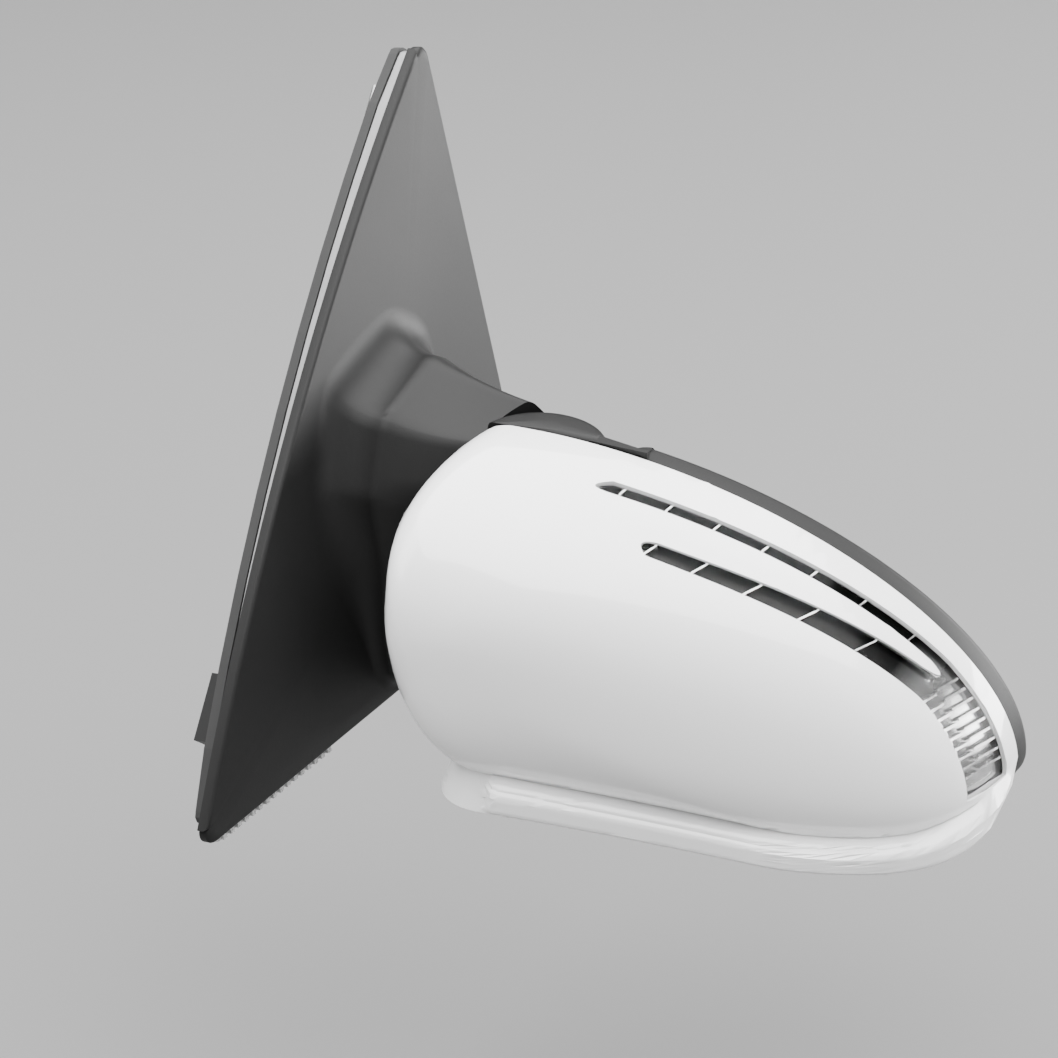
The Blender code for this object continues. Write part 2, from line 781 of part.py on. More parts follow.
def cover_rings(inset):
    """Rings of the cover's skin from its rim up the neck to its end, inset under the outer skin."""
    turns = ring_turns()
    root, end = neck_root(inset), neck_end(inset)
    rings = []
    rims = ((0, COVER_LOW), (0, COVER_HIGH - 0.0015), (0.0005, COVER_HIGH - 0.0005), (0.0018, COVER_HIGH))
    for more, high in rims:
        outline = base_outline(inset + more)
        ring = []
        for turn in turns:
            out = reach(outline, *NECK_CENTRE, turn)
            u, v = NECK_CENTRE[0] + out * math.cos(turn), NECK_CENTRE[1] + out * math.sin(turn)
            ring.append(on_base(u, v, max(COVER_LOW, high - inset)))
        rings.append(ring)
    if inset > 0:
        rings = [rings[0], rings[-1]]
    for step in range(5):
        lift = math.pi / 2 * step / 4
        ring = []
        for turn in turns:
            radius = fillet_radius(turn)
            out = reach(root, *NECK_CENTRE, turn) + inset + radius - (radius + inset) * math.sin(lift)
            u, v = NECK_CENTRE[0] + out * math.cos(turn), NECK_CENTRE[1] + out * math.sin(turn)
            ring.append(on_base(u, v, COVER_HIGH + radius - (radius + inset) * math.cos(lift)))
        rings.append(ring)
    start = rings[-1]
    finish = []
    for turn in turns:
        out = reach(end, 0, 0, turn)
        finish.append(on_end(out * math.cos(turn), out * math.sin(turn), END_RADIUS + inset))
    for part in (0.16, 0.32, 0.48, 0.64, 0.82, 1.0):
        ring = []
        for a, b in zip(start, finish):
            up = 1 - (1 - part) ** (1 + 1.2 * smooth(a.z / 0.060))
            ring.append(Vector((a.x + (b.x - a.x) * part, a.y + (b.y - a.y) * part, a.z + (b.z - a.z) * up)))
        rings.append(ring)
    for part in (0.66, 0.33, 0.02):
        ring = []
        for turn in turns:
            out = reach(end, 0, 0, turn) * part
            ring.append(on_end(out * math.cos(turn), out * math.sin(turn), END_RADIUS + inset))
        rings.append(ring)
    return rings


def clipped(loop, least):
    """The part of a closed loop whose first coordinate isn't under least."""
    found = []
    for (ax, ay), (bx, by) in zip(loop, loop[1:] + loop[:1]):
        if ax >= least:
            found.append((ax, ay))
        if (ax < least) != (bx < least):
            share = (least - ax) / (bx - ax)
            found.append((least, ay + (by - ay) * share))
    return found


def along_edge(spot, along, across):
    """A point given from a spot, along the base's front edge and square to it, inwards."""
    edge = (Vector(BASE_TOP) - Vector(BASE_FRONT)).normalized()
    return (spot[0] + edge.x * along + edge.y * across, spot[1] + edge.y * along - edge.x * across)


def edge_box(spot, length, width):
    """A rectangle round a spot, its long sides along the base's front edge."""
    ends = ((-1, 1), (1, 1), (1, -1), (-1, -1))
    return [along_edge(spot, a * length / 2, b * width / 2) for a, b in ends]


def base_rod(name, spot, radius, low, high, finish=STEEL, steps=20):
    place = lambda x, y, h: on_base(spot[0] + x, spot[1] + y, h)
    return turned(name, rod_profile(radius, low, high), finish, place, steps)


def make_bracket():
    bracket = plate("base_bracket", [base_outline(0.0005, LAYER_FRONT)], FLANGE_LOW, FLANGE_HIGH, CAST_METAL)
    pad = clipped(base_outline(PAD_INSET, LAYER_FRONT), PAD_END)
    join(bracket, plate("pad_tool", [pad], 0, FLANGE_LOW + 0.001, CAST_METAL))
    disc_side = PIVOT_X - DISC_RADIUS
    front, rear = PIVOT_Y + ARM_FRONT, PIVOT_Y + ARM_REAR
    arm = [(0.0175, 0.002), (disc_side, front), (PIVOT_X - 0.010, front)]
    arm += [(PIVOT_X - 0.010, rear), (disc_side, rear), (0.0175, 0.030)]
    place = lambda x, y, z: Vector((x, y, z + ARM_RISE * max(0.0, disc_side - x)))
    join(bracket, plate("arm_tool", [arm], ARM_LOW, ARM_LOW + ARM_THICK, CAST_METAL, place))
    disc = circle(PIVOT_X, PIVOT_Y, DISC_RADIUS, 40)
    join(bracket, plate("disc_tool", [disc], ARM_LOW - 0.0001, ARM_LOW + ARM_THICK, CAST_METAL, in_world))
    bore = circle(PIVOT_X, PIVOT_Y, POST_BORE, 24)
    cut(bracket, plate("bore_tool", [bore], ARM_LOW - 0.01, ARM_LOW + ARM_THICK + 0.01, CAST_METAL, in_world))
    for k, spot in enumerate(INSERT_SPOTS):
        cut(bracket, base_rod(f"insert_hole_{k}", spot, 0.0044, -0.001, 0.0085, BRASS, 32))
    for k, spot in enumerate(COVER_SCREW_SPOTS):
        cut(bracket, base_rod(f"counterbore_{k}", spot, 0.0042, -0.001, 0.0065))
        cut(bracket, base_rod(f"screw_hole_{k}", spot, 0.0020, 0.005, 0.012))
    cut(bracket, base_rod("grommet_hole", GROMMET_SPOT, 0.012, -0.001, 0.012, STEEL, 28))


def make_cover():
    outer, inner = cover_rings(0), cover_rings(COVER_WALL)
    cover = lofted("sail_cover", outer[::-1] + inner, SATIN_BLACK)
    for k, spot in enumerate(COVER_SCREW_SPOTS):
        join(cover, base_rod(f"boss_{k}", spot, 0.0040, COVER_LOW, COVER_HIGH - 0.0012))
        cut(cover, base_rod(f"boss_hole_{k}", spot, 0.0020, COVER_LOW - 0.002, COVER_HIGH - 0.0016))
    low, high = ARM_LOW - 0.0008, ARM_LOW + ARM_THICK + 0.0008
    front, rear = PIVOT_Y + ARM_FRONT - 0.0008, PIVOT_Y + ARM_REAR + 0.0008
    side = PIVOT_X - DISC_RADIUS
    slot = [(PIVOT_X - 0.036, front), (side, front), (PIVOT_X - 0.008, front)]
    slot += [(PIVOT_X - 0.008, rear), (side, rear), (PIVOT_X - 0.036, rear)]
    place = lambda x, y, z: Vector((x, y, z + ARM_RISE * max(0.0, side - x)))
    cut(cover, plate("slot_tool", [slot], low, high, SATIN_BLACK, place))


def make_base_small_parts():
    u, v = PEG_SPOT
    peg_hole = circle(u, v, 0.0032, 16)
    rims = [base_outline(0, LAYER_FRONT), base_outline(GASKET_WIDTH, LAYER_FRONT)]
    gasket = plate("door_gasket", [*rims, peg_hole], GAP, GASKET_THICK, RUBBER)
    clip_middle = along_edge(CLIP_SPOT, 0, CLIP_WIDTH / 2)
    notch = edge_box(clip_middle, CLIP_LENGTH + 2 * GAP, CLIP_WIDTH + 2 * GAP)
    cut(gasket, plate("clip_notch", [notch], -0.001, 0.006, RUBBER))
    for k, (u, v) in enumerate(INSERT_SPOTS):
        place = lambda x, y, h, u=u, v=v: on_base(u + x, v + y, h)
        turned(f"thread_insert_{k + 1}", ring_profile(0.0025, 0.0040, GAP, 0.008), BRASS, place, 32)
    for k, (u, v) in enumerate(COVER_SCREW_SPOTS):
        place = lambda x, y, h, u=u, v=v: on_base(u + x, v + y, h)
        profile = [(0, 0.0040), (0.0036, 0.0040), (0.0036, 0.0062), (0.0017, 0.0062), (0.0017, 0.0128), (0, 0.0128)]
        turned(f"cover_screw_{k + 1}", profile, STEEL, place, 20)
    u, v = GROMMET_SPOT
    place = lambda x, y, h: on_base(u + x, v + y, h)
    grommet = [(0.0075, 0.0005), (0.0116, 0.0005), (0.0116, 0.0104), (0.0140, 0.0104), (0.0140, 0.0125)]
    turned("cable_grommet", grommet + [(0.0075, 0.0125)], RUBBER, place, 40)
    block = edge_box(SOCKET_SPOT, SOCKET_LENGTH, SOCKET_WIDTH)
    socket = plate("connector_socket", [block], -0.018, GASKET_THICK, SATIN_BLACK)
    cut(socket, plate("socket_tool", [shrunk(block, 0.0016)], -0.020, -0.003, SATIN_BLACK))
    base_rod("locating_peg", PEG_SPOT, 0.0026, -0.009, GASKET_THICK, SATIN_BLACK, 16)
    wide, thick = CLIP_WIDTH, 0.0012
    legs = [(0, 0.0046), (0, -0.0095), (0.0022, -0.0120), (wide - 0.0022, -0.0120), (wide, -0.0095)]
    legs += [(wide, 0.0046), (wide - thick, 0.0046), (wide - thick, -0.0090), (wide - 0.0028, -0.0108)]
    legs += [(0.0028, -0.0108), (thick, -0.0090), (thick, 0.0046)]
    place = lambda across, h, along: on_base(*along_edge(CLIP_SPOT, along, across), h)
    plate("spring_clip", [legs], -CLIP_LENGTH / 2, CLIP_LENGTH / 2, STEEL, place)
    ribs = [(-0.124, 0.0010), (-0.053, 0.0010)]
    for k in range(16):
        u = -0.053 - 0.071 * k / 16
        ribs += [(u, 0.0092), (u - 0.0022, 0.0092), (u - 0.0022, 0.0078), (u - 0.0044375, 0.0078)]
    ribs = without_repeats(ribs)
    rim = lambda u: BASE_FRONT[1] + (BASE_REAR[1] - BASE_FRONT[1]) * (u - BASE_FRONT[0]) / 0.235
    plate("foam_strip", [ribs], -0.0052, -0.0006, FOAM, lambda u, h, v: on_base(u, rim(u) + v, h))


# ---- Fold unit ----
def about_pivot(x, y, z):
    return Vector((PIVOT_X + x, PIVOT_Y + y, z))


def on_worm(y, z, x):
    """The worm's axis lies along X, in front of the post."""
    return Vector((PIVOT_X + x, PIVOT_Y - WORM_CENTRES + y, WORM_Z + z))


def gear_outline(teeth, radius, depth):
    loop = []
    for k in range(teeth):
        for share, out in ((0.0, radius - depth), (0.3, radius - depth), (0.45, radius), (0.85, radius)):
            turn = math.tau * (k + share) / teeth
            loop.append((out * math.cos(turn), out * math.sin(turn)))
    return loop


def helix_rings(radius, wire, low, high, turns, sides, steps):
    """A round wire wound about the pivot."""
    rings = []
    for k in range(steps + 1):
        turn = math.tau * turns * k / steps
        z = low + (high - low) * k / steps
        ring = []
        for side in range(sides):
            around = math.tau * side / sides
            out = radius + wire * math.cos(around)
            ring.append(about_pivot(out * math.cos(turn), out * math.sin(turn), z + wire * math.sin(around)))
        rings.append(ring)
    return rings


def make_fold_unit():
    seat = ARM_LOW + ARM_THICK
    post = [(POST_BORE, seat + GAP), (POST_RADIUS, seat + GAP), (POST_RADIUS, POST_TOP), (POST_BORE, POST_TOP)]
    turned("pivot_post", post, STEEL, about_pivot, 28)
    ring = turned("detent_ring", ring_profile(0.0094, 0.020, seat + GAP, seat + 0.005), STEEL, about_pivot, 32)
    for k in range(4):
        turn = math.pi / 4 + math.pi / 2 * k
        notch = [(x * math.cos(turn) - y * math.sin(turn), x * math.sin(turn) + y * math.cos(turn))
                 for x, y in rectangle(0.016, 0, 0.012, 0.005)]
        cut(ring, plate(f"notch_tool_{k}", [notch], seat + 0.0035, seat + 0.008, STEEL, about_pivot))
    teeth = gear_outline(FOLD_GEAR_TEETH, FOLD_GEAR_RADIUS, 0.0012)
    bore = circle(0, 0, POST_RADIUS + GAP, 28)
    plate("clutch_gear", [teeth, bore], WORM_Z - 0.006, WORM_Z + 0.006, BRASS, about_pivot)
    coil = helix_rings(0.0122, 0.0011, 0.0005, 0.0155, 4.5, 6, 72)
    lofted("fold_spring", coil, STEEL)
    turned("spring_retainer", ring_profile(POST_RADIUS + GAP, 0.014, 0.0183, 0.0213), STEEL, about_pivot, 28)
    make_worm()
    motor_place = on_worm
    motor_end = MOTOR_START + MOTOR_LENGTH
    turned("fold_motor", rod_profile(MOTOR_RADIUS, MOTOR_START, motor_end), STEEL, motor_place, 28)
    case = [(0.0024, MOTOR_START - 0.0020), (0.0113, MOTOR_START - 0.0020), (0.0113, motor_end + 0.001)]
    case += [(MOTOR_RADIUS + 0.0004, motor_end + 0.001), (MOTOR_RADIUS + 0.0004, MOTOR_START - 0.0004)]
    turned("fold_drive_case", case + [(0.0024, MOTOR_START - 0.0004)], DRIVE_PLASTIC, motor_place, 28)


def make_worm():
    """A threaded rod whose shaft runs into the motor case."""
    pitch = math.tau * (FOLD_GEAR_RADIUS - 0.0006) / FOLD_GEAR_TEETH
    low, high = -0.011, 0.013
    steps, sides = 48, 12
    rings = []
    for part in (-0.013, -0.011):
        rings.append([on_worm(0.0015 * math.cos(math.tau * k / sides), 0.0015 * math.sin(math.tau * k / sides), part)
                      for k in range(sides)])
    for step in range(steps + 1):
        x = low + (high - low) * step / steps
        ring = []
        for k in range(sides):
            turn = math.tau * k / sides
            wave = 0.5 + 0.5 * math.cos(turn - math.tau * x / pitch)
            radius = FOLD_WORM_RADIUS - 0.0011 + 0.0011 * wave
            ring.append(on_worm(radius * math.cos(turn), radius * math.sin(turn), x))
        rings.append(ring)
    for part in (0.0131, MOTOR_START - GAP):
        rings.append([on_worm(0.0015 * math.cos(math.tau * k / sides), 0.0015 * math.sin(math.tau * k / sides), part)
                      for k in range(sides)])
    worm = lofted("fold_worm", rings, STEEL)
    moved_origin(worm, on_worm(0, 0, 0))


# ---- Housing behind the cap ----
GLASS_SPOT = (PIVOT_X + 0.088, -0.016)
GLASS_ORIGIN = on_seam(*GLASS_SPOT, BEZEL_DEPTH - GLASS_SINK)
GLASS_ACROSS = Vector((1, SWEEP, 0)).normalized()
GLASS_OUT = Vector((-SWEEP, 1, 0)).normalized()
TILT_CENTRE = in_glass(0, 0, -TILT_BEHIND)
EAR_TURNS = (math.radians(90), math.radians(210), math.radians(330))
EAR_REACH = CASE_RADIUS + 0.0045


def over_glass(x, z, out):
    """A point over (x, z) of the housing's outline, out from the glass."""
    return in_glass((x - GLASS_ORIGIN.x) / GLASS_ACROSS.x, z - GLASS_ORIGIN.z, out)


def glass_rod(name, across, up, radius, low, high, finish=STEEL, steps=20):
    place = lambda x, y, h: in_glass(across + x, up + y, h)
    return turned(name, rod_profile(radius, low, high), finish, place, steps)


def make_frame():
    low = HOUSING_BOTTOM + 0.016
    left = PIVOT_X - 0.004
    corners = [(left, -0.0465), (PIVOT_X + 0.027, -0.0465), (PIVOT_X + 0.033, low), (HOUSING_OUTER_X - 0.040, low)]
    for turn in turns_between(-13, 82, 8):
        spot = dome(turn, depth_to_rise(turn, 0.0225))
        out = math.hypot(spot.x - NOSE.x, spot.z - NOSE.z) - 0.0135
        corners.append((NOSE.x + out * math.cos(turn), NOSE.z + out * math.sin(turn)))
    corners.append((left, corners[-1][1]))
    frame = plate("housing_frame", [rounded(corners, 0.002, 2)], -0.022, -0.019, GREY_PLASTIC, on_seam)
    middle = (left - 0.01 + PIVOT_X + 0.017) / 2
    for name, x, z, width, height in (
        ("gear_window", middle, -0.0292, PIVOT_X + 0.017 - left + 0.01, 0.0200),
        ("motor_window", PIVOT_X + 0.0270, -0.0310, 0.0230, 0.0242),
    ):
        cut(frame, plate(name, [rectangle(x, z, width, height)], -0.030, -0.010, GREY_PLASTIC, on_seam))
    cut(frame, glass_rod("case_hole", 0, 0, CASE_RADIUS + 0.0012, -0.040, -0.010, GREY_PLASTIC, 48))
    cut(frame, turned("spring_room", rod_profile(0.0152, -0.0010, 0.0240), GREY_PLASTIC, about_pivot))
    bore = POST_RADIUS + 0.0006
    join(frame, turned("lower_sleeve", ring_profile(bore, 0.020, -0.0463, -0.0398), GREY_PLASTIC, about_pivot))
    join(frame, turned("upper_sleeve", ring_profile(bore, 0.013, -0.0181, -0.002), GREY_PLASTIC, about_pivot))
    for k, turn in enumerate(EAR_TURNS):
        spot = (EAR_REACH * math.cos(turn), EAR_REACH * math.sin(turn))
        cut(frame, glass_rod(f"frame_hole_{k}", *spot, 0.0012, -0.040, -0.010, GREY_PLASTIC, 12))


BARREL_START = 45.5
BARREL_END = 228
BARREL_LOW = -0.0495
BARREL_HIGH = 0.0455


def barrel_arc(radius, start=BARREL_START, end=BARREL_END, steps=30):
    return arc(0, 0, radius, radius, start, end, steps)


def inside_cap(x, y, z):
    """Under 1 inside the dome, and over 1 outside it."""
    turn = math.atan2(z - NOSE.z, x - NOSE.x)
    power = roundness(turn % math.tau)
    out = math.hypot(z - NOSE.z, x - NOSE.x) / reach_at(turn)
    deep = max(0.0, seam_y(x) - y) / NOSE_DEPTH
    return out**power + deep**power


def make_inboard_shell():
    outer, inner = barrel_arc(BARREL_RADIUS), barrel_arc(BARREL_RADIUS - BARREL_WALL)
    shell = plate("inboard_shell", [outer + inner[::-1]], BARREL_LOW, BARREL_HIGH, SATIN_BLACK, about_pivot)
    last = math.radians(BARREL_END - 3)
    along = Vector((math.cos(last), math.sin(last), 0))
    side = Vector((-along.y, along.x, 0))
    edge = []
    for k in range(11):
        z = BARREL_LOW + 0.001 + (BARREL_HIGH - BARREL_LOW - 0.002) * k / 10
        far = BARREL_RADIUS - 0.001
        while inside_cap(*(PIVOT + along * (far + 0.006) + Vector((0, 0, z)))) < 1 and far < 0.060:
            far += 0.0005
        edge.append((far, z))
    wall = [(BARREL_RADIUS - 0.0012, edge[0][1])] + edge + [(BARREL_RADIUS - 0.0012, edge[-1][1])]
    place = lambda r, z, t: PIVOT + along * r + side * t + Vector((0, 0, z))
    join(shell, plate("wall_tool", [without_repeats(wall)], -BARREL_WALL / 2, BARREL_WALL / 2, SATIN_BLACK, place))
    lid = barrel_arc(BARREL_RADIUS - 0.0004, BARREL_START + 1, BARREL_END - 1) + [(0.004, -0.020), (0.017, -0.008)]
    join(shell, plate("lid_tool", [lid], BARREL_HIGH - 0.0012, BARREL_HIGH + 0.0013, SATIN_BLACK, about_pivot))
    rings = []
    for inset, z in ((0.0002, BARREL_HIGH + 0.0003), (0.0002, 0.0530), (0.0010, 0.0546), (0.0028, 0.0554)):
        rings.append([about_pivot(x, y, z) for x, y in crown_outline(inset)])
    join(shell, lofted("crown_tool", rings, SATIN_BLACK))
    join(shell, lofted("corner_tool", corner_rings(), SATIN_BLACK))


def crown_outline(inset):
    """The part of the barrel's top that lies behind the cap's seam."""
    radius = BARREL_RADIUS - inset
    line = lambda x: SEAM_Y - PIVOT_Y + SWEEP * x + 0.0008 + inset
    loop = arc(0, 0, radius, radius, BARREL_START + 1, 171, 28)
    return loop + [(0.0, line(0.0)), (loop[0][0], line(loop[0][0]))]


def corner_rings():
    """Slices of the black corner that runs from the crown over the bezel's rounded corner."""
    rings = []
    for part in (0, 0.15, 0.3, 0.45, 0.6, 0.75, 0.9, 1):
        x = BEZEL_INNER_X - 0.0045 + (BEZEL_CORNER + 0.0070) * part
        top = 0.0551 + (HOUSING_TOP - 0.0556) * part - 0.0012 * part
        under = bezel_top(x) + 0.0006
        low = min(top - 0.0012, max(BARREL_HIGH + 0.0004, under))
        deep = 0.0070 - 0.0042 * part
        rings.append([on_seam(x, z, y) for y, z in ((0.0008, low), (deep, low), (deep, top), (0.0008, top))])
    return rings


def bezel_top(x):
    """Height of the bezel's outline at x, and under everything where it has none."""
    best = -1.0
    outline = bezel_outline()
    for (ax, az), (bx, bz) in zip(outline, outline[1:] + outline[:1]):
        if ax != bx and min(ax, bx) <= x <= max(ax, bx):
            best = max(best, az + (bz - az) * (x - ax) / (bx - ax))
    return best


def make_bottom_shell():
    turns = turns_between(272, 336, 4)
    rings = []
    for part in (0.0, 0.5, 1.0):
        rings.append([lerp_bottom(turn, part, 0) for turn in turns])
    top = [[point + Vector((0, 0, 0.0022)) for point in ring] for ring in rings[::-1]]
    rings += top
    wide = len(turns)
    points = [p for ring in rings for p in ring]
    faces = []
    for r in range(6):
        a, b = r * wide, (r + 1) % 6 * wide
        faces += [(a + k, a + k + 1, b + k + 1, b + k) for k in range(wide - 1)]
    for k in (0, wide - 1):
        faces.append((k, wide + k, 4 * wide + k, 5 * wide + k))
        faces.append((wide + k, 2 * wide + k, 3 * wide + k, 4 * wide + k))
    shell = add_object("bottom_shell", points, faces, GREY_PLASTIC)
    spread = circle(0, 0, BARREL_RADIUS + NECK_GAP, 40)
    cut(shell, plate("barrel_tool", [spread], -0.09, -0.05, GREY_PLASTIC, about_pivot))
    far = [(0.0, 0.0)] + arc(0, 0, 0.15, 0.15, 70, 231, 6)
    cut(shell, plate("wedge_tool", [far], -0.09, -0.05, GREY_PLASTIC, about_pivot))
    lamp = circle(LAMP_SPOT[0], LAMP_SPOT[1], LAMP_RADIUS + 0.0005, 28)
    cut(shell, plate("lamp_hole", [lamp], -0.09, -0.06, GREY_PLASTIC, in_world))


LAMP_SPOT = (0.170, -0.008)
LAMP_RADIUS = 0.0115


def lerp_bottom(turn, part, lift):
    """A point of the housing's underside, between the lip's edge and the seam."""
    front = cap_point(turn, 1)
    rear = dome(turn, 1)
    inward = (rear - front).normalized()
    a, b = front + inward * 0.0050, rear - inward * 0.0010
    spot = a + (b - a) * part
    return Vector((spot.x, spot.y, spot.z + 0.0012 + lift))


def make_bezel():
    outline = bezel_outline()
    section = [(0, 0.0005), (0, 0.009), (0.002, 0.0125), (0.0045, 0.013), (0.0065, 0.0115), (0.0072, -0.004)]
    section += [(0.0052, -0.004), (0.0048, 0.0085), (0.0025, 0.009), (0.0025, 0.0005)]
    rings = [[on_seam(x, z, deep) for x, z in shrunk(outline, inset)] for inset, deep in section]
    lofted("bezel", rings, SATIN_BLACK, close=False)


def make_lamp():
    place = lambda x, y, z: Vector((LAMP_SPOT[0] + x, LAMP_SPOT[1] + y, z))
    low = HOUSING_BOTTOM + 0.0012
    turned("puddle_lamp_lens", rod_profile(LAMP_RADIUS, low, low + 0.0018), CLEAR_LENS, place, 28)
    top = low + 0.0021
    cup = [(0.0095, top), (0.0112, top), (0.0112, top + 0.009), (0.006, top + 0.0125), (0, top + 0.0125)]
    cup += [(0, top + 0.011), (0.0055, top + 0.011), (0.0095, top + 0.0085)]
    turned("puddle_lamp_housing", cup, GREY_PLASTIC, place, 28)


# ---- Glass and its drive ----
def make_glass():
    outline = bezel_outline()
    inset = 0.0085 + GLASS_CLEAR
    glass = plate("mirror_glass", [shrunk(outline, inset)], -GLASS_THICK, 0, MIRROR, over_glass)
    film_top = -GLASS_THICK - GAP
    film_low = film_top - HEATER_THICK
    film = plate("heater_pad", [shrunk(outline, inset + 0.0015)], film_low, film_top, HEATER_FILM, over_glass)
    back_top = film_low - GAP
    back_low = back_top - CARRIER_THICK
    back = plate("glass_carrier", [shrunk(outline, inset + 0.001)], back_low, back_top, GREY_PLASTIC, over_glass)
    for side in (-1, 1):
        lug = rectangle(side * 0.0135, 0, 0.0028, 0.0064)
        join(back, plate(f"lug_tool_{side}", [lug], -TILT_BEHIND - 0.003, back_low + 0.001, GREY_PLASTIC, in_glass))
    pin = rod_profile(0.0017, -0.020, 0.020)
    across_pin = lambda y, z, x: in_glass(x, y, z - TILT_BEHIND)
    cut(back, turned("pin_tool", pin, GREY_PLASTIC, across_pin, 16))
    for made in (glass, film, back):
        moved_origin(made, TILT_CENTRE)


def make_gimbal():
    at_centre = lambda x, y, h: in_glass(x, y, h - TILT_BEHIND)
    ring = turned("gimbal_ring", ring_profile(0.0075, 0.0105, -0.0022, 0.0022), STEEL, at_centre, 28)
    for side in (-1, 1):
        rod = rod_profile(0.0014, 0.009, 0.0145)
        along = lambda y, z, x, side=side: in_glass(side * x, y, z - TILT_BEHIND)
        upward = lambda x, z, y, side=side: in_glass(x, side * y, z - TILT_BEHIND)
        join(ring, turned(f"across_pin_{side}", rod, STEEL, along, 12))
        join(ring, turned(f"upward_pin_{side}", rod, STEEL, upward, 12))
    moved_origin(ring, TILT_CENTRE)


JACK_SPOTS = ((JACK_ARM, 0.0), (0.0, -JACK_ARM))
CASE_FRONT = -0.023
CASE_BACK = CASE_FRONT - CASE_DEPTH


def make_actuator():
    cup = [(0, CASE_FRONT), (CASE_RADIUS, CASE_FRONT), (CASE_RADIUS, CASE_BACK)]
    cup += [(CASE_RADIUS - CASE_WALL, CASE_BACK), (CASE_RADIUS - CASE_WALL, CASE_FRONT - CASE_WALL)]
    case = turned("actuator_case", cup + [(0, CASE_FRONT - CASE_WALL)], DRIVE_PLASTIC, in_glass, 40)
    for side in (-1, 1):
        lug = rectangle(0, side * 0.0135, 0.0064, 0.0028)
        join(case, plate(f"case_lug_{side}", [lug], CASE_FRONT - 0.001, -TILT_BEHIND + 0.003, DRIVE_PLASTIC, in_glass))
    upward = lambda x, z, y: in_glass(x, y, z - TILT_BEHIND)
    cut(case, turned("lug_hole_tool", rod_profile(0.0017, -0.020, 0.020), DRIVE_PLASTIC, upward, 16))
    for k, turn in enumerate(EAR_TURNS):
        cos, sin = math.cos(turn), math.sin(turn)
        ear = [(x * cos - y * sin, x * sin + y * cos) for x, y in rectangle(EAR_REACH - 0.001, 0, 0.011, 0.009)]
        join(case, plate(f"ear_tool_{k}", [ear], CASE_FRONT - 0.0021, CASE_FRONT - 0.0001, DRIVE_PLASTIC, in_glass))
        cut(case, glass_rod(f"ear_hole_{k}", EAR_REACH * cos, EAR_REACH * sin, 0.0016, -0.030, -0.020, STEEL, 16))
    for k, (across, up) in enumerate(JACK_SPOTS):
        cut(case, glass_rod(f"jack_hole_{k}", across, up, JACK_RADIUS + 0.0005, -0.030, -0.020, STEEL, 20))
    lid = [circle(0, 0, CASE_RADIUS - 0.0005, 40)] + [circle(*spot, JACK_RADIUS + 0.0008, 16) for spot in JACK_SPOTS]
    plate("actuator_cover", lid, CASE_BACK - 0.0023, CASE_BACK - GAP, DRIVE_PLASTIC, in_glass)
    for k, turn in enumerate(EAR_TURNS):
        spot = (EAR_REACH * math.cos(turn), EAR_REACH * math.sin(turn))
        place = lambda x, y, h, spot=spot: in_glass(spot[0] + x, spot[1] + y, h)
        profile = [(0, -0.0205), (0.0026, -0.0205), (0.0026, CASE_FRONT + GAP), (0.0010, CASE_FRONT + GAP)]
        profile += [(0.0010, -0.031), (0, -0.031)]
        turned(f"frame_screw_{k + 1}", profile, STEEL, place, 16)
    for k, (across, up, low, high) in enumerate(((-0.014, 0, -0.010, 0.010), (0.002, 0, 0.004, 0.024))):
        middle = CASE_FRONT - CASE_WALL - 0.0062
        place = lambda x, z, y, across=across, middle=middle: in_glass(across + x, y, middle + z)
        turned(f"tilt_motor_{k + 1}", rod_profile(0.005, low, high), STEEL, place, 20)


def make_jacks():
    for k, (across, up) in enumerate(JACK_SPOTS):
        rod = glass_rod(f"jackscrew_{k + 1}", across, up, JACK_RADIUS, -0.0365, -0.0085, BRASS, 16)
        moved_origin(rod, in_glass(across, up, -0.0085))
        teeth = gear_outline(16, 0.0065, 0.0010)
        nut = plate(
            f"nut_gear_{k + 1}",
            [teeth, circle(0, 0, JACK_RADIUS + GAP, 20)],
            -0.034,
            -0.028,
            DRIVE_PLASTIC,
            lambda x, y, h, across=across, up=up: in_glass(across + x, up + y, h),
        )
        moved_origin(nut, in_glass(across, up, -0.031))


def main():
    for made in list(bpy.data.objects):
        bpy.data.objects.remove(made)
    make_cap()
    make_bracket()
    make_cover()
    make_base_small_parts()
    make_fold_unit()
    make_frame()
    make_inboard_shell()
    make_bottom_shell()
    make_bezel()
    make_lamp()
    make_actuator()
    make_gimbal()
    make_glass()
    make_jacks()


main()
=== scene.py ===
import math

import bmesh
import bpy
import numpy as np
from mathutils import Matrix, Vector
from mathutils.geometry import delaunay_2d_cdt


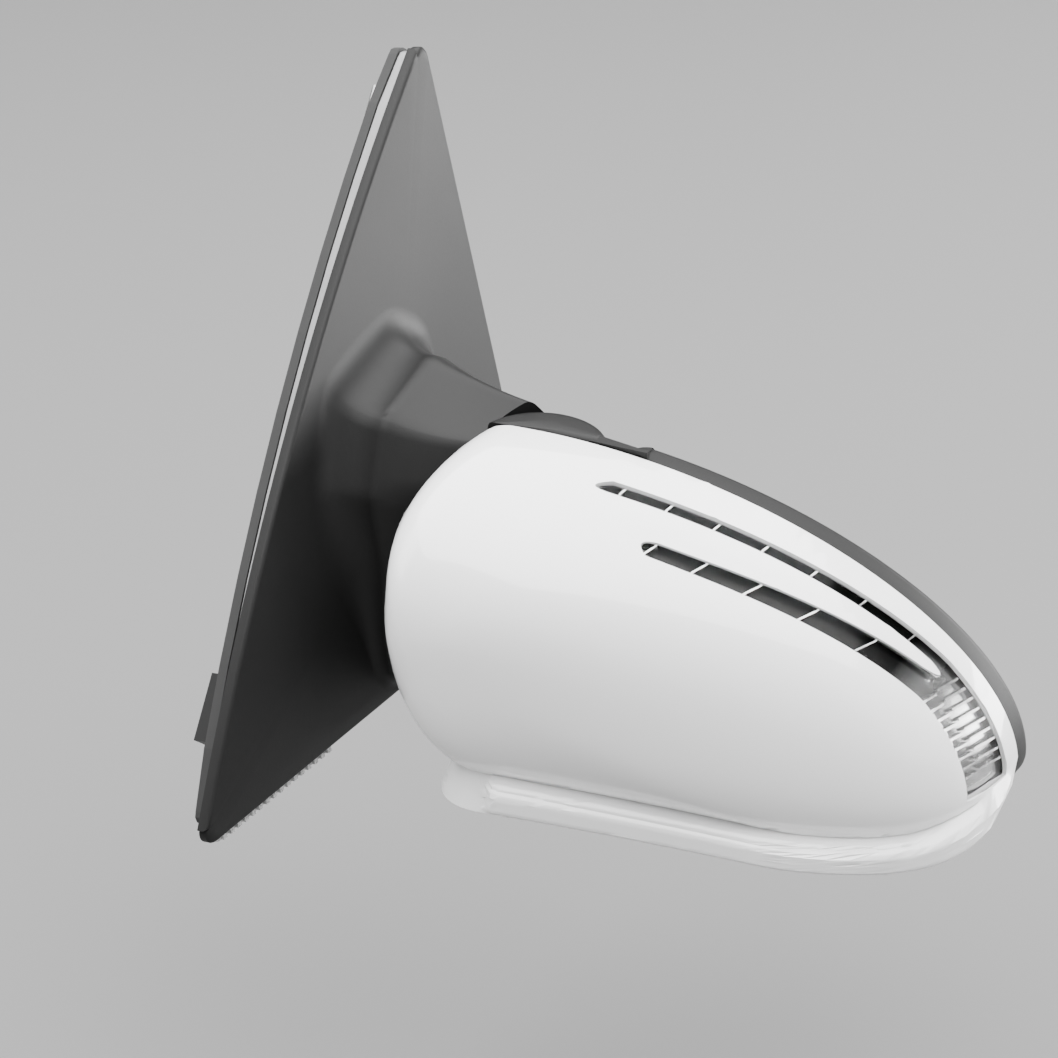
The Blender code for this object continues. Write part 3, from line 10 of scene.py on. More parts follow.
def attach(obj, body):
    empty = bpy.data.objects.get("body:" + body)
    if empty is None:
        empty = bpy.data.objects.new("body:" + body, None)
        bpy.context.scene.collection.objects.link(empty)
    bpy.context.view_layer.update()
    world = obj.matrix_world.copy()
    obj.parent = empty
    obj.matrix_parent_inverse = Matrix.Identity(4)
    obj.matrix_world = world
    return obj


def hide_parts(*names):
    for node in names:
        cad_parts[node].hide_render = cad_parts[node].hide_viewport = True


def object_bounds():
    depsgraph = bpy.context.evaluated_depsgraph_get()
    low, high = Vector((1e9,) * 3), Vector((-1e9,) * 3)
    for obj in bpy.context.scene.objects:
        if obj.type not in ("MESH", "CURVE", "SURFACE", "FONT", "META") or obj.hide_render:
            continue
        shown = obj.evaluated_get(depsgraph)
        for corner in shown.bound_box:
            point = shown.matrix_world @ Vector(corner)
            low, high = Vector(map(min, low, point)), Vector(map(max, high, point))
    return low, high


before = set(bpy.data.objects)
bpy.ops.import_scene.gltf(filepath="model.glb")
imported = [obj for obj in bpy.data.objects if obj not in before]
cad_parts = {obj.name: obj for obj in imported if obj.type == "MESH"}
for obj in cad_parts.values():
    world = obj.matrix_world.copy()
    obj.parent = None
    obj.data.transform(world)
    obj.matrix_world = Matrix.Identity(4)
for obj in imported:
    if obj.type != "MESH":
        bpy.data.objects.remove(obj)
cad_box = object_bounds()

# The mirror's own sizes, in metres, as in the frame that was loaded.
LEAN = math.radians(12)
BASE_FRONT = (-0.140, -0.074)
BASE_TOP = (0.085, 0.172)
BASE_REAR = (0.095, -0.070)
BASE_FRONT_BOW = 0.012
BASE_CORNER = 0.004
COVER_LOW = 0.0102
COVER_HIGH = 0.0147
COVER_WALL = 0.0025
PIVOT_X, PIVOT_Y = 0.085, 0.004
BARREL_RADIUS = 0.0265
BARREL_WALL = 0.0022
BARREL_START, BARREL_END = 45.5, 228
BARREL_LOW, BARREL_HIGH = -0.0495, 0.0455
CROWN_END = 171
ARM_LOW, ARM_HIGH = -0.0635, -0.0520
ARM_FRONT, ARM_REAR = -0.004, 0.014
ARM_ROOM = 0.0008
ARM_RISE = 0.2
DISC_RADIUS = 0.023
FOOT_TOP, FOOT_BOTTOM = 0.059, -0.067
NECK_ROOT_TOP, NECK_ROOT_BOTTOM = 0.060, -0.066
END_RADIUS = BARREL_RADIUS + 0.001
HOUSING_OUTER_X = 0.270
HOUSING_TOP, HOUSING_BOTTOM = 0.056, -0.073
CAP_INNER_X = 0.049
SEAM_Y = 0.012
SWEEP = 0.2
NOSE = Vector((0.080, -0.0685, -0.0055))
CAP_WALL = 0.0025
GUTTER_Z = -0.058
LIP_OUT = 0.0075
LIP_FADE = 0.045
BEZEL_INNER_X = 0.104
BEZEL_BOTTOM = -0.067
GLASS_INSET = 0.0115
LIP_START, LIP_FULL = 288.5, 292.5
GLASS_DEPTH = 0.007


# ---- Shader maths ----
class Wave:
    """A shader socket that can be used in arithmetic."""

    def __init__(self, finish, socket):
        self.finish = finish
        self.socket = socket

    def __add__(self, other):
        return self.finish.maths("ADD", self, other)

    __radd__ = __add__

    def __sub__(self, other):
        return self.finish.maths("SUBTRACT", self, other)

    def __rsub__(self, other):
        return self.finish.maths("SUBTRACT", other, self)

    def __mul__(self, other):
        return self.finish.maths("MULTIPLY", self, other)

    __rmul__ = __mul__

    def __truediv__(self, other):
        return self.finish.maths("DIVIDE", self, other)

    def clamped(self):
        return self.finish.maths("MINIMUM", self.finish.maths("MAXIMUM", self, 0.0), 1.0)


class Finish:
    """A procedural material under construction, with its nodes made by one method."""

    def __init__(self, name, **sockets):
        self.material = bpy.data.materials.new(name)
        self.material.use_nodes = True
        self.tree = self.material.node_tree
        self.shader = self.tree.nodes["Principled BSDF"]
        for socket, value in sockets.items():
            self.set(socket.replace("_", " "), value)

    def node(self, kind, settings=None, out=0, **sockets):
        made = self.tree.nodes.new("ShaderNode" + kind)
        for key, value in (settings or {}).items():
            if key == "stops":
                ramp = made.color_ramp
                while len(ramp.elements) < len(value):
                    ramp.elements.new(0.5)
                for element, (place, grey) in zip(ramp.elements, value):
                    element.position = place
                    element.color = (grey, grey, grey, 1)
            else:
                setattr(made, key, value)
        for key, value in sockets.items():
            self.feed(made.inputs[int(key[1:]) if key[1:].isdigit() else key.replace("_", " ")], value)
        return Wave(self, made.outputs[out])

    def feed(self, socket, value):
        if isinstance(value, Wave):
            self.tree.links.new(value.socket, socket)
        else:
            socket.default_value = value

    def maths(self, operation, first, second):
        return self.node("Math", {"operation": operation}, i0=first, i1=second)

    def place(self):
        return self.node("TexCoord", out=3)

    def along(self, axis):
        return self.node("SeparateXYZ", out="XYZ".index(axis), Vector=self.place())

    def noise(self, scale, detail=3.0, rough=0.5):
        return self.node("TexNoise", Vector=self.place(), Scale=scale, Detail=detail, Roughness=rough)

    def cells(self, scale):
        return self.node("TexVoronoi", Vector=self.place(), Scale=scale)

    def ramp(self, value, *stops):
        return self.node("ValToRGB", {"stops": stops}, Fac=value)

    def mix(self, share, first, second):
        made = self.tree.nodes.new("ShaderNodeMix")
        made.data_type = "RGBA"
        self.feed(made.inputs[0], share)
        self.feed(made.inputs[6], first)
        self.feed(made.inputs[7], second)
        return Wave(self, made.outputs[2])

    def bump(self, height, depth, strength=1.0):
        return self.node("Bump", Height=height, Distance=depth, Strength=strength)

    def set(self, socket, value):
        self.feed(self.shader.inputs[socket], value)


def grey(value, tint=(0, 0, 0)):
    return (value + tint[0], value + tint[1], value + tint[2], 1)


def gloss_paint():
    """White body paint: slight orange peel under a clear coat."""
    paint = Finish("gloss_white_paint", IOR=1.5, Coat_Roughness=0.03)
    cloud = paint.noise(9, 2)
    paint.set("Base Color", paint.mix(cloud, grey(0.86), grey(0.90, (0, 0, 0.004))))
    paint.set("Roughness", 0.22 + 0.06 * paint.noise(40, 3))
    paint.set("Coat Weight", 0.9)
    peel = paint.noise(420, 2, 0.4) * 0.5 + paint.noise(1500, 2) * 0.1
    paint.set("Normal", paint.bump(peel, 0.00001, 0.5))
    return paint.material


def grained_black(name="satin_black_plastic", dark=0.005, light=0.010, rough=0.40, depth=0.00004):
    """Moulded black plastic with a fine leather-like grain and handling haze."""
    plastic = Finish(name, IOR=1.30)
    haze = plastic.noise(14, 4)
    grain = plastic.ramp(plastic.cells(1700), (0.1, 0.0), (0.75, 1.0))
    plastic.set("Base Color", plastic.mix(haze, grey(dark), grey(light)))
    plastic.set("Roughness", rough + 0.10 * haze + 0.05 * grain)
    plastic.set("Normal", plastic.bump(grain * 0.7 + plastic.noise(2600, 2) * 0.3, depth, 0.35))
    return plastic.material


def matte_plastic(name, dark, light, rough=0.55, scale=900):
    plastic = Finish(name, IOR=1.49)
    cloud = plastic.noise(25, 4)
    plastic.set("Base Color", plastic.mix(cloud, dark, light))
    plastic.set("Roughness", rough + 0.12 * plastic.noise(160, 3))
    plastic.set("Normal", plastic.bump(plastic.noise(scale, 3), 0.00005, 0.4))
    return plastic.material


def cast_metal():
    """Die-cast alloy: pebbled skin, dull patches."""
    metal = Finish("die_cast_metal", Metallic=0.85)
    patches = metal.noise(45, 5, 0.6)
    pebbles = metal.cells(650)
    metal.set("Base Color", metal.mix(patches, grey(0.20), grey(0.34, (0.0, 0.002, 0.006))))
    metal.set("Roughness", 0.42 + 0.2 * patches)
    metal.set("Normal", metal.bump(pebbles * 0.6 + patches * 0.5, 0.00012, 0.5))
    return metal.material


def worked_metal(name, dark, light, rough, scale=(40, 40, 900)):
    """Turned or rolled metal with fine tool lines."""
    metal = Finish(name, Metallic=1.0)
    mapped = metal.node("Mapping", Vector=metal.place(), Scale=scale)
    lines = metal.node("TexNoise", Vector=mapped, Scale=4.0, Detail=3.0)
    metal.set("Base Color", metal.mix(lines, dark, light))
    metal.set("Roughness", rough + 0.15 * lines)
    metal.set("Normal", metal.bump(lines, 0.00003, 0.4))
    return metal.material


def rubber(name="seal_rubber", dark=0.012, light=0.028):
    seal = Finish(name, IOR=1.45)
    dust = seal.noise(60, 5, 0.65)
    seal.set("Base Color", seal.mix(dust, grey(dark), grey(light)))
    seal.set("Roughness", 0.62 + 0.2 * dust)
    seal.set("Normal", seal.bump(seal.noise(700, 3), 0.00010, 0.5))
    return seal.material


def foam():
    """Open-cell grey foam."""
    sponge = Finish("grey_sealing_foam", Roughness=0.95)
    pores_and_pore_shade = sponge.ramp(sponge.cells(900), (0.05, 0.0), (0.5, 1.0))
    # The pore centres are painted darker: painted shade in the hollows of the cells. The same mask also
    # drives the bump.
    sponge.set("Base Color", sponge.mix(pores_and_pore_shade, grey(0.22), grey(0.48)))
    sponge.set("Normal", sponge.bump(pores_and_pore_shade, 0.0003, 0.8))
    return sponge.material


def clear_cover():
    """Clear moulded lens with faint flow marks."""
    lens = Finish("clear_lens_moulding", IOR=1.10)
    lens.shader.inputs["Transmission Weight"].default_value = 1.0
    flow = lens.noise(30, 3)
    lens.set("Base Color", lens.mix(flow, grey(0.95), grey(0.99)))
    lens.set("Roughness", 0.015 + 0.03 * flow)
    lens.set("Normal", lens.bump(flow, 0.00004, 0.3))
    return lens.material


def reflector_metal():
    """The tray behind the lens: near-black in the prongs as a painted dark reflection, bright metal where
    they join.
    """
    tray = Finish("signal_tray", Metallic=1.0)
    x = tray.along("X")
    # The prongs' near-black base colour is painted: it stands in for the dark surroundings that the chrome
    # reflects there.
    bright = ((x - 0.232) / 0.020).clamped()
    ripple = tray.noise(120, 3)
    tray.set("Base Color", tray.mix(bright, grey(0.012), tray.mix(ripple, grey(0.42), grey(0.72))))
    tray.set("Roughness", 0.30 - 0.12 * bright + 0.08 * ripple)
    tray.set("Normal", tray.bump(ripple, 0.0003, 0.4))
    return tray.material


def bright_metal():
    shiny = Finish("signal_cell_walls", Metallic=1.0)
    ripple = shiny.noise(300, 2)
    shiny.set("Base Color", shiny.mix(ripple, grey(0.55), grey(0.85)))
    shiny.set("Roughness", 0.18 + 0.15 * ripple)
    shiny.set("Normal", shiny.bump(ripple, 0.0001, 0.3))
    return shiny.material


def silvered_glass():
    """The reflecting glass with a breath of dust."""
    glass = Finish("silvered_glass", Metallic=1.0)
    dust = glass.noise(35, 5, 0.6)
    glass.set("Base Color", glass.mix(dust, grey(0.80, (0, 0.004, 0.008)), grey(0.86, (0, 0.004, 0.01))))
    glass.set("Roughness", 0.015 + 0.03 * dust)
    glass.set("Normal", glass.bump(glass.noise(20, 1), 0.00001, 0.2))
    return glass.material


# ---- Outlines and frames of reference ----
BASE_OUT = Vector((math.cos(LEAN), 0, math.sin(LEAN)))
BASE_UP = Vector((-math.sin(LEAN), 0, math.cos(LEAN)))


def on_base(u, v, h):
    return Vector((0, u, 0)) + BASE_UP * v + BASE_OUT * h


def seam_y(x):
    return SEAM_Y + SWEEP * (x - PIVOT_X)


def on_seam(x, z, depth):
    return Vector((x, seam_y(x) + depth, z))


def about_pivot(x, y, z):
    return Vector((PIVOT_X + x, PIVOT_Y + y, z))


def arc(centre_x, centre_y, radius_x, radius_y, start, end, steps, power=2.0):
    found = []
    for k in range(steps + 1):
        turn = math.radians(start + (end - start) * k / steps)
        cos, sin = math.cos(turn), math.sin(turn)
        along = math.copysign(abs(cos) ** (2 / power), cos)
        up = math.copysign(abs(sin) ** (2 / power), sin)
        found.append((centre_x + radius_x * along, centre_y + radius_y * up))
    return found


def without_repeats(loop, closer=1e-6):
    return [p for p, q in zip(loop, loop[-1:] + loop[:-1]) if math.dist(p, q) > closer]


def shrunk(loop, by):
    found = []
    for before, here, after in zip(loop[-1:] + loop[:-1], loop, loop[1:] + loop[:1]):
        first = (Vector(here) - Vector(before)).normalized()
        second = (Vector(after) - Vector(here)).normalized()
        normal = (Vector((-first.y, first.x)) + Vector((-second.y, second.x))).normalized()
        spot = Vector(here) + normal * by / max(0.3, normal.dot(Vector((-first.y, first.x))))
        found.append((spot.x, spot.y))
    return found


def inside_by(loop, by):
    """The loop moved inwards, without the points that a tight corner would fold over."""
    edges = list(zip(loop, loop[1:] + loop[:1]))
    found = []
    for x, y in shrunk(loop, by):
        near = min(gap_to(x, y, *first, *last) for first, last in edges)
        if near > by * 0.995:
            found.append((x, y))
    return found


def gap_to(x, y, ax, ay, bx, by):
    """Distance from a point to a straight edge."""
    share = ((x - ax) * (bx - ax) + (y - ay) * (by - ay)) / ((bx - ax) ** 2 + (by - ay) ** 2)
    share = min(1.0, max(0.0, share))
    return math.hypot(x - ax - (bx - ax) * share, y - ay - (by - ay) * share)


def rounded(corners, radius, steps=8):
    found = []
    for before, here, after in zip(corners[-1:] + corners[:-1], corners, corners[1:] + corners[:1]):
        here, before, after = Vector(here), Vector(before), Vector(after)
        back, on = (before - here).normalized(), (after - here).normalized()
        half = math.acos(max(-1, min(1, back.dot(on)))) / 2
        middle = here + (back + on).normalized() * radius / math.sin(half)
        start = here + back * radius / math.tan(half) - middle
        for k in range(steps + 1):
            turn = (math.pi - 2 * half) * k / steps
            cos, sin = math.cos(turn), math.sin(turn)
            spot = middle + Vector((start.x * cos - start.y * sin, start.x * sin + start.y * cos))
            found.append((spot.x, spot.y))
    return found


def base_outline(inset=0.0, bow_steps=40):
    corners = shrunk([BASE_FRONT, BASE_REAR, BASE_TOP], inset)
    top, front = Vector(corners[2]), Vector(corners[0])
    chord = front - top
    side = Vector((chord.y, -chord.x)).normalized()
    bow = []
    for k in range(1, bow_steps):
        part = k / bow_steps
        spot = top + chord * part + side * BASE_FRONT_BOW * 4 * part * (1 - part)
        bow.append((spot.x, spot.y))
    return rounded(corners, BASE_CORNER, 8) + bow


def cap_outline():
    top_x, side_z = CAP_INNER_X + 0.030, HOUSING_BOTTOM + 0.024
    points = arc(top_x, side_z, HOUSING_OUTER_X - top_x, HOUSING_TOP - side_z, 0, 90, 120, 1.83)
    points += arc(CAP_INNER_X + 0.022, HOUSING_TOP - 0.022, 0.022, 0.022, 90, 180, 20)
    points += arc(CAP_INNER_X + 0.050, 0.0286, 0.050, 0.0286 - HOUSING_BOTTOM, 180, 270, 50)
    points += arc(HOUSING_OUTER_X - 0.034, side_z, 0.034, 0.024, 270, 360, 30)
    return without_repeats(points)


def bezel_outline():
    top_x, side_z, corner, left = CAP_INNER_X + 0.030, HOUSING_BOTTOM + 0.024, 0.016, BEZEL_INNER_X
    top = arc(top_x, side_z, HOUSING_OUTER_X - 0.001 - top_x, HOUSING_TOP - 0.001 - side_z, 0, 90, 120, 1.83)
    points = [p for p in top if p[0] > left + corner]
    height = points[-1][1]
    points += arc(left + corner, height - corner, corner, corner + 0.0008, 88, 180, 16)
    points += arc(left + 0.022, BEZEL_BOTTOM + 0.022, 0.022, 0.022, 180, 270, 16)
    points += arc(HOUSING_OUTER_X - 0.031, side_z, 0.030, side_z - BEZEL_BOTTOM, 270, 360, 24)
    return without_repeats(points)


def reach(outline, x, z, turn):
    dx, dz = math.cos(turn), math.sin(turn)
    best = 0.0
    for (ax, az), (bx, bz) in zip(outline, outline[1:] + outline[:1]):
        ex, ez = bx - ax, bz - az
        across = dx * ez - dz * ex
        if abs(across) < 1e-12:
            continue
        along = ((ax - x) * ez - (az - z) * ex) / across
        share = ((ax - x) * dz - (az - z) * dx) / across
        if -1e-9 <= share <= 1 + 1e-9 and along > best:
            best = along
    return best


# ---- The cap's surface ----
CAP_OUTLINE = cap_outline()
ROUNDNESS = (2.66, 2.2, 3.1, 3.4)
NOSE_DEPTH = seam_y(NOSE.x) - NOSE.y
TURNS = 1440
REACHES = [reach(CAP_OUTLINE, NOSE.x, NOSE.z, math.tau * k / TURNS) for k in range(TURNS)]


def smooth(value):
    value = min(1.0, max(0.0, value))
    return value * value * (3 - 2 * value)


def looked_up(table, turn):
    place = turn / math.tau % 1 * TURNS
    low = int(place) % TURNS
    share = place - int(place)
    return table[low] * (1 - share) + table[(low + 1) % TURNS] * share


def roundness(turn):
    place = turn / (math.pi / 2) % 4
    low = int(place)
    share = smooth(place - low)
    return ROUNDNESS[low] * (1 - share) + ROUNDNESS[(low + 1) % 4] * share


def dome(turn, rise):
    power = 2 / roundness(turn)
    angle = min(1.0, max(0.0, rise)) * math.pi / 2
    out = looked_up(REACHES, turn) * math.sin(angle) ** power
    x = NOSE.x + math.cos(turn) * out
    deep = NOSE_DEPTH * max(0.0, math.cos(angle)) ** power
    return Vector((x, seam_y(x) - deep, NOSE.z + math.sin(turn) * out))


def gutter_z(x):
    lift = max(0.0, x - (HOUSING_OUTER_X - 0.025)) / 0.025
    return GUTTER_Z - 0.002 * (x - NOSE.x) / 0.185 + 0.012 * lift**1.5


def gutter_rise(turn):
    if math.sin(turn) >= 0:
        return 1.0
    end = dome(turn, 1)
    if end.z > gutter_z(end.x):
        return 1.0
    low, high = 0.0, 1.0
    for _ in range(20):
        middle = (low + high) / 2
        spot = dome(turn, middle)
        low, high = (middle, high) if spot.z > gutter_z(spot.x) else (low, middle)
    return high


GUTTER_RISES = [gutter_rise(math.tau * k / TURNS) for k in range(TURNS)]


def gutter_at(turn):
    return looked_up(GUTTER_RISES, turn)


def cap_point(turn, rise):
    edge = gutter_at(turn)
    if rise <= edge or edge >= 1:
        return dome(turn, rise)
    start = dome(turn, edge)
    ahead = dome(turn + 0.01, gutter_at(turn + 0.01)) - dome(turn - 0.01, gutter_at(turn - 0.01))
    outward = Vector((ahead.y, -ahead.x, 0)).normalized()
    left = min(1.0, (seam_y(start.x) - start.y) / LIP_FADE) ** 0.8
    share = (rise - edge) / (1 - edge)
    ledge = math.sin(min(1.0, max(0.0, share - 0.06) / 0.32) * math.pi / 2)
    ledge *= 1 - 0.3 * smooth((share - 0.8) / 0.2)
    here = smooth((math.degrees(turn) % 360 - LIP_START) / (LIP_FULL - LIP_START))
    groove = 0.0016 * math.sin(min(1.0, share / 0.06) * math.pi) * here
    drop = (start.z - HOUSING_BOTTOM) * left * share
    out = ledge * here + 0.7 * share * (1 - here)
    return start + outward * (LIP_OUT * out - groove) * left - Vector((0, 0, drop))


def to_flat(turn, rise):
    out = looked_up(REACHES, turn) * rise
    return (math.cos(turn) * out, math.sin(turn) * out)


def cap_at(point, sunk=0.0):
    turn = math.atan2(point[1], point[0])
    rise = min(1.0, math.hypot(*point) / looked_up(REACHES, turn))
    here = cap_point(turn, rise)
    if sunk == 0:
        return here
    return here - dome_normal(turn, min(max(rise, 0.02), gutter_at(turn), 0.995)) * sunk


def dome_normal(turn, rise):
    across = dome(turn + 0.01, rise) - dome(turn - 0.01, rise)
    along = dome(turn, rise + 0.005) - dome(turn, rise - 0.005)
    return along.cross(across).normalized()


def depth_to_rise(turn, deep):
    return math.acos(min(1.0, max(0.0, deep / NOSE_DEPTH)) ** (roundness(turn) / 2)) / (math.pi / 2)


# Each line of the signal: its depth behind the seam, how much it drops, and where it starts.
SIGNAL_LINES = (
    (0.0192, 0.010, 0.120),
    (0.0259, 0.010, 0.120),
    (0.040, 0.020, 0.146),
    (0.0465, 0.0155, 0.146),
)
CELL_PITCH = 0.0178
UPPER_TIP = (0.0240, 0.116)
LOWER_TIP = (0.0425, 0.144)
TONGUE_END = 0.5


def signal_line(near, drop, start_x, turn):
    x = dome(turn, 0.9).x
    for _ in range(4):
        share = max(0.0, (x - start_x) / (HOUSING_OUTER_X - 0.025 - start_x))
        rise = depth_to_rise(turn, near - drop * min(1.0, share) ** 1.5)
        x = dome(turn, rise).x
    return rise


def signal_point(line, turn, shift=0.0):
    near, drop, start = SIGNAL_LINES[line]
    return to_flat(turn, signal_line(near + shift, drop, start, turn))


def turns_between(start, end, step):
    count = max(1, math.ceil(abs(end - start) / step))
    return [math.radians(start + (end - start) * k / count) for k in range(count + 1)]


def turn_at_x(x, deep):
    low, high = -0.6, 1.9
    for _ in range(30):
        middle = (low + high) / 2
        spot = dome(middle, depth_to_rise(middle, deep))
        low, high = (middle, high) if spot.x > x else (low, middle)
    return low


OUTBOARD_TURN = -max(k for k in range(1, 600) if gutter_at(math.radians(-k / 10)) >= 1) / 10 - 0.1
TOP_TURN = 106
FREE_EDGE_RISE = 0.72
LIP_TURN = min(t / 10 for t in range(2000, 3000) if gutter_at(math.radians(t / 10)) < FREE_EDGE_RISE - 0.02)


def free_edge_rise(turn):
    return 1 - (1 - FREE_EDGE_RISE) * smooth((math.degrees(turn) - TOP_TURN) / 14)


def line_end(line, over=0.020):
    near, drop, start = SIGNAL_LINES[line]
    degrees = 0.0
    while signal_line(near, drop, start, math.radians(degrees)) < gutter_at(math.radians(degrees)) - over:
        degrees -= 0.25
    return degrees + 1


def rounded_tip(first, tip, last, steps=6):
    """A short curve from the first point through the tip to the last."""
    first, tip, last = Vector(first), Vector(tip), Vector(last)
    bend = 2 * tip - (first + last) / 2
    found = []
    for k in range(1, steps):
        part = k / steps
        spot = first * (1 - part) ** 2 + bend * 2 * part * (1 - part) + last * part**2
        found.append((spot.x, spot.y))
    return found


def signal_fork(step=0.8):
    """Outline of the lens: two prongs that meet at the outboard end, with soft tips."""
    upper = math.degrees(turn_at_x(UPPER_TIP[1], UPPER_TIP[0]))
    lower = math.degrees(turn_at_x(LOWER_TIP[1], LOWER_TIP[0]))
    start, end = line_end(0), line_end(3)
    top = [signal_point(0, turn) for turn in turns_between(start, upper - 3, step)]
    under = [signal_point(1, turn) for turn in turns_between(upper - 4, TONGUE_END + 1.5, step)]
    tip = to_flat(math.radians(upper), depth_to_rise(math.radians(upper), UPPER_TIP[0]))
    loop = top + rounded_tip(top[-1], tip, under[0]) + under
    tongue = math.radians(TONGUE_END)
    inner, outer = (SIGNAL_LINES[k][0] - SIGNAL_LINES[k][1] for k in (2, 1))
    over = [signal_point(2, turn) for turn in turns_between(TONGUE_END + 1.5, lower - 2, step)]
    middle = to_flat(tongue, depth_to_rise(tongue, (inner + outer) / 2))
    loop += rounded_tip(loop[-1], middle, over[0], 8) + over
    low = [signal_point(3, turn) for turn in turns_between(lower - 3, end, step)]
    tip = to_flat(math.radians(lower), depth_to_rise(math.radians(lower), LOWER_TIP[0]))
    loop += rounded_tip(over[-1], tip, low[0]) + low
    for turn in turns_between(end, start, step)[1:-1]:
        rise = min(gutter_at(turn) - 0.020, signal_line(*SIGNAL_LINES[0], turn) - 0.003)
        loop.append(to_flat(turn, rise))
    return without_repeats(loop, 1e-5)


def cap_loop():
    loop = [to_flat(turn, 1) for turn in turns_between(OUTBOARD_TURN, TOP_TURN, 1)]
    loop += [to_flat(turn, free_edge_rise(turn)) for turn in turns_between(TOP_TURN, LIP_TURN, 1.5)]
    turn = math.radians(LIP_TURN)
    edge = gutter_at(turn)
    loop += [to_flat(turn, edge + (1 - edge) * k / 10) for k in range(10)]
    loop += [to_flat(turn, 1) for turn in turns_between(LIP_TURN, 360 + OUTBOARD_TURN, 1)]
    return without_repeats(loop, 1e-5)


def along_lip(share):
    line = []
    for turn in turns_between(LIP_TURN + 1.0, 360 + OUTBOARD_TURN - 1.0, 1):
        edge = gutter_at(turn)
        line.append(to_flat(turn, edge + share * (1 - edge)))
    return line


# ---- Making pieces ----
def inside_of(points, loops):
    """Which of the points lie inside the first loop and outside the rest."""
    hit = np.zeros(len(points), bool)
    for k, loop in enumerate(loops):
        ends = np.array(loop)
        begins = np.roll(ends, 1, axis=0)
        inner = np.zeros(len(points), bool)
        for (ax, ay), (bx, by) in zip(begins, ends):
            if ay == by:
                continue
            spans = (ay > points[:, 1]) != (by > points[:, 1])
            inner ^= spans & (points[:, 0] < ax + (points[:, 1] - ay) * (bx - ax) / (by - ay))
        hit = inner if k == 0 else hit & ~inner
    return hit


def flat_grid(loops, spacing, creases=()):
    """Loops, crease lines and a lattice of points between them, triangulated."""
    fixed = [tuple(p) for loop in loops for p in loop]
    edges = []
    start = 0
    for loop in loops:
        edges += [(start + i, start + (i + 1) % len(loop)) for i in range(len(loop))]
        start += len(loop)
    for line in creases:
        edges += [(start + i, start + i + 1) for i in range(len(line) - 1)]
        fixed += [tuple(p) for p in line]
        start += len(line)
    low, high = np.min(loops[0], axis=0), np.max(loops[0], axis=0)
    rows = np.arange(low[1], high[1], spacing * 0.866)
    lattice = []
    for r, y in enumerate(rows):
        xs = np.arange(low[0] + (r % 2) * spacing / 2, high[0], spacing)
        lattice.append(np.column_stack([xs, np.full(len(xs), y)]))
    lattice = np.vstack(lattice)
    lattice = lattice[inside_of(lattice, loops)]
    anchors = np.array(fixed)
    nearest = np.full(len(lattice), np.inf)
    for anchor in anchors:
        nearest = np.minimum(nearest, np.hypot(*(lattice - anchor).T))
    lattice = lattice[nearest > 0.55 * spacing]
    points = [Vector(p) for p in fixed] + [Vector(p) for p in lattice]
    found = delaunay_2d_cdt(points, edges, [], 0, 1e-8)
    flat = np.array([tuple(p) for p in found[0]])
    middles = np.array([flat[list(tri)].mean(axis=0) for tri in found[2]])
    inner = inside_of(middles, loops)
    return found[0], [tri for tri, keep in zip(found[2], inner) if keep]


def shell_faces(count, triangles):
    faces = [tuple(tri) for tri in triangles]
    faces += [tuple(i + count for i in reversed(tri)) for tri in triangles]
    sides = {(tri[k], tri[(k + 1) % 3]) for tri in triangles for k in range(3)}
    for a, b in sorted(sides):
        if (b, a) not in sides:
            faces.append((b, a, a + count, b + count))
    return faces


def mesh_object(name, points, faces, finish, crease=35):
    shape = bmesh.new()
    corners = [shape.verts.new(point) for point in points]
    for face in faces:
        shape.faces.new([corners[i] for i in face])
    bmesh.ops.recalc_face_normals(shape, faces=shape.faces)
    if shape.calc_volume(signed=True) < 0:
        bmesh.ops.reverse_faces(shape, faces=shape.faces)
    mesh = bpy.data.meshes.new(name)
    shape.to_mesh(mesh)
    shape.free()
    mesh.shade_smooth()
    mesh.set_sharp_from_angle(angle=math.radians(crease))
    mesh.materials.append(finish)
    made = bpy.data.objects.new(name, mesh)
    bpy.context.scene.collection.objects.link(made)
    return made


def fit(piece, body, slot, *nodes):
    """The piece rides on its body and stands for the frame's plain nodes."""
    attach(piece, body)
    if nodes:
        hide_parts(*nodes)
    return piece


def cap_shell(name, loops, top, bottom, finish, spacing, creases=(), soft=0.0003):
    """A shell that follows the cap between two depths, with softened rims."""
    flat, triangles = flat_grid(loops, spacing, creases)
    rim = {(round(p[0], 7), round(p[1], 7)) for loop in loops for p in loop}
    outer = []
    for p in flat:
        at_rim = (round(p[0], 7), round(p[1], 7)) in rim
        outer.append(cap_at(p, top + soft if at_rim else top))
    points = outer + [cap_at(p, bottom) for p in flat]
    return mesh_object(name, points, shell_faces(len(flat), triangles), finish)


def lofted(name, rings, finish, close=True):
    size = len(rings[0])
    points = [p for ring in rings for p in ring]
    faces = []
    for r in range(len(rings) - 1 if close else len(rings)):
        a, b = r * size, (r + 1) % len(rings) * size
        faces += [(a + k, a + (k + 1) % size, b + (k + 1) % size, b + k) for k in range(size)]
    if close:
        for start, ring in ((0, rings[0]), ((len(rings) - 1) * size, rings[-1])):
            points.append(sum(ring, Vector()) / size)
            faces += [(start + k, start + (k + 1) % size, len(points) - 1) for k in range(size)]
    return mesh_object(name, points, faces, finish)


def slab(name, loops, low, high, finish, place):
    """A flat plate with the outline's edges at both ends."""
    flat = [Vector(p) for loop in loops for p in loop]
    edges = []
    start = 0
    for loop in loops:
        edges += [(start + i, start + (i + 1) % len(loop)) for i in range(len(loop))]
        start += len(loop)
    found = delaunay_2d_cdt(flat, edges, [], 0, 1e-8)
    spots = np.array([tuple(p) for p in found[0]])
    inner = inside_of(np.array([spots[list(tri)].mean(axis=0) for tri in found[2]]), loops)
    triangles = [tri for tri, keep in zip(found[2], inner) if keep]
    points = [place(*p, high) for p in found[0]] + [place(*p, low) for p in found[0]]
    return mesh_object(name, points, shell_faces(len(found[0]), triangles), finish)


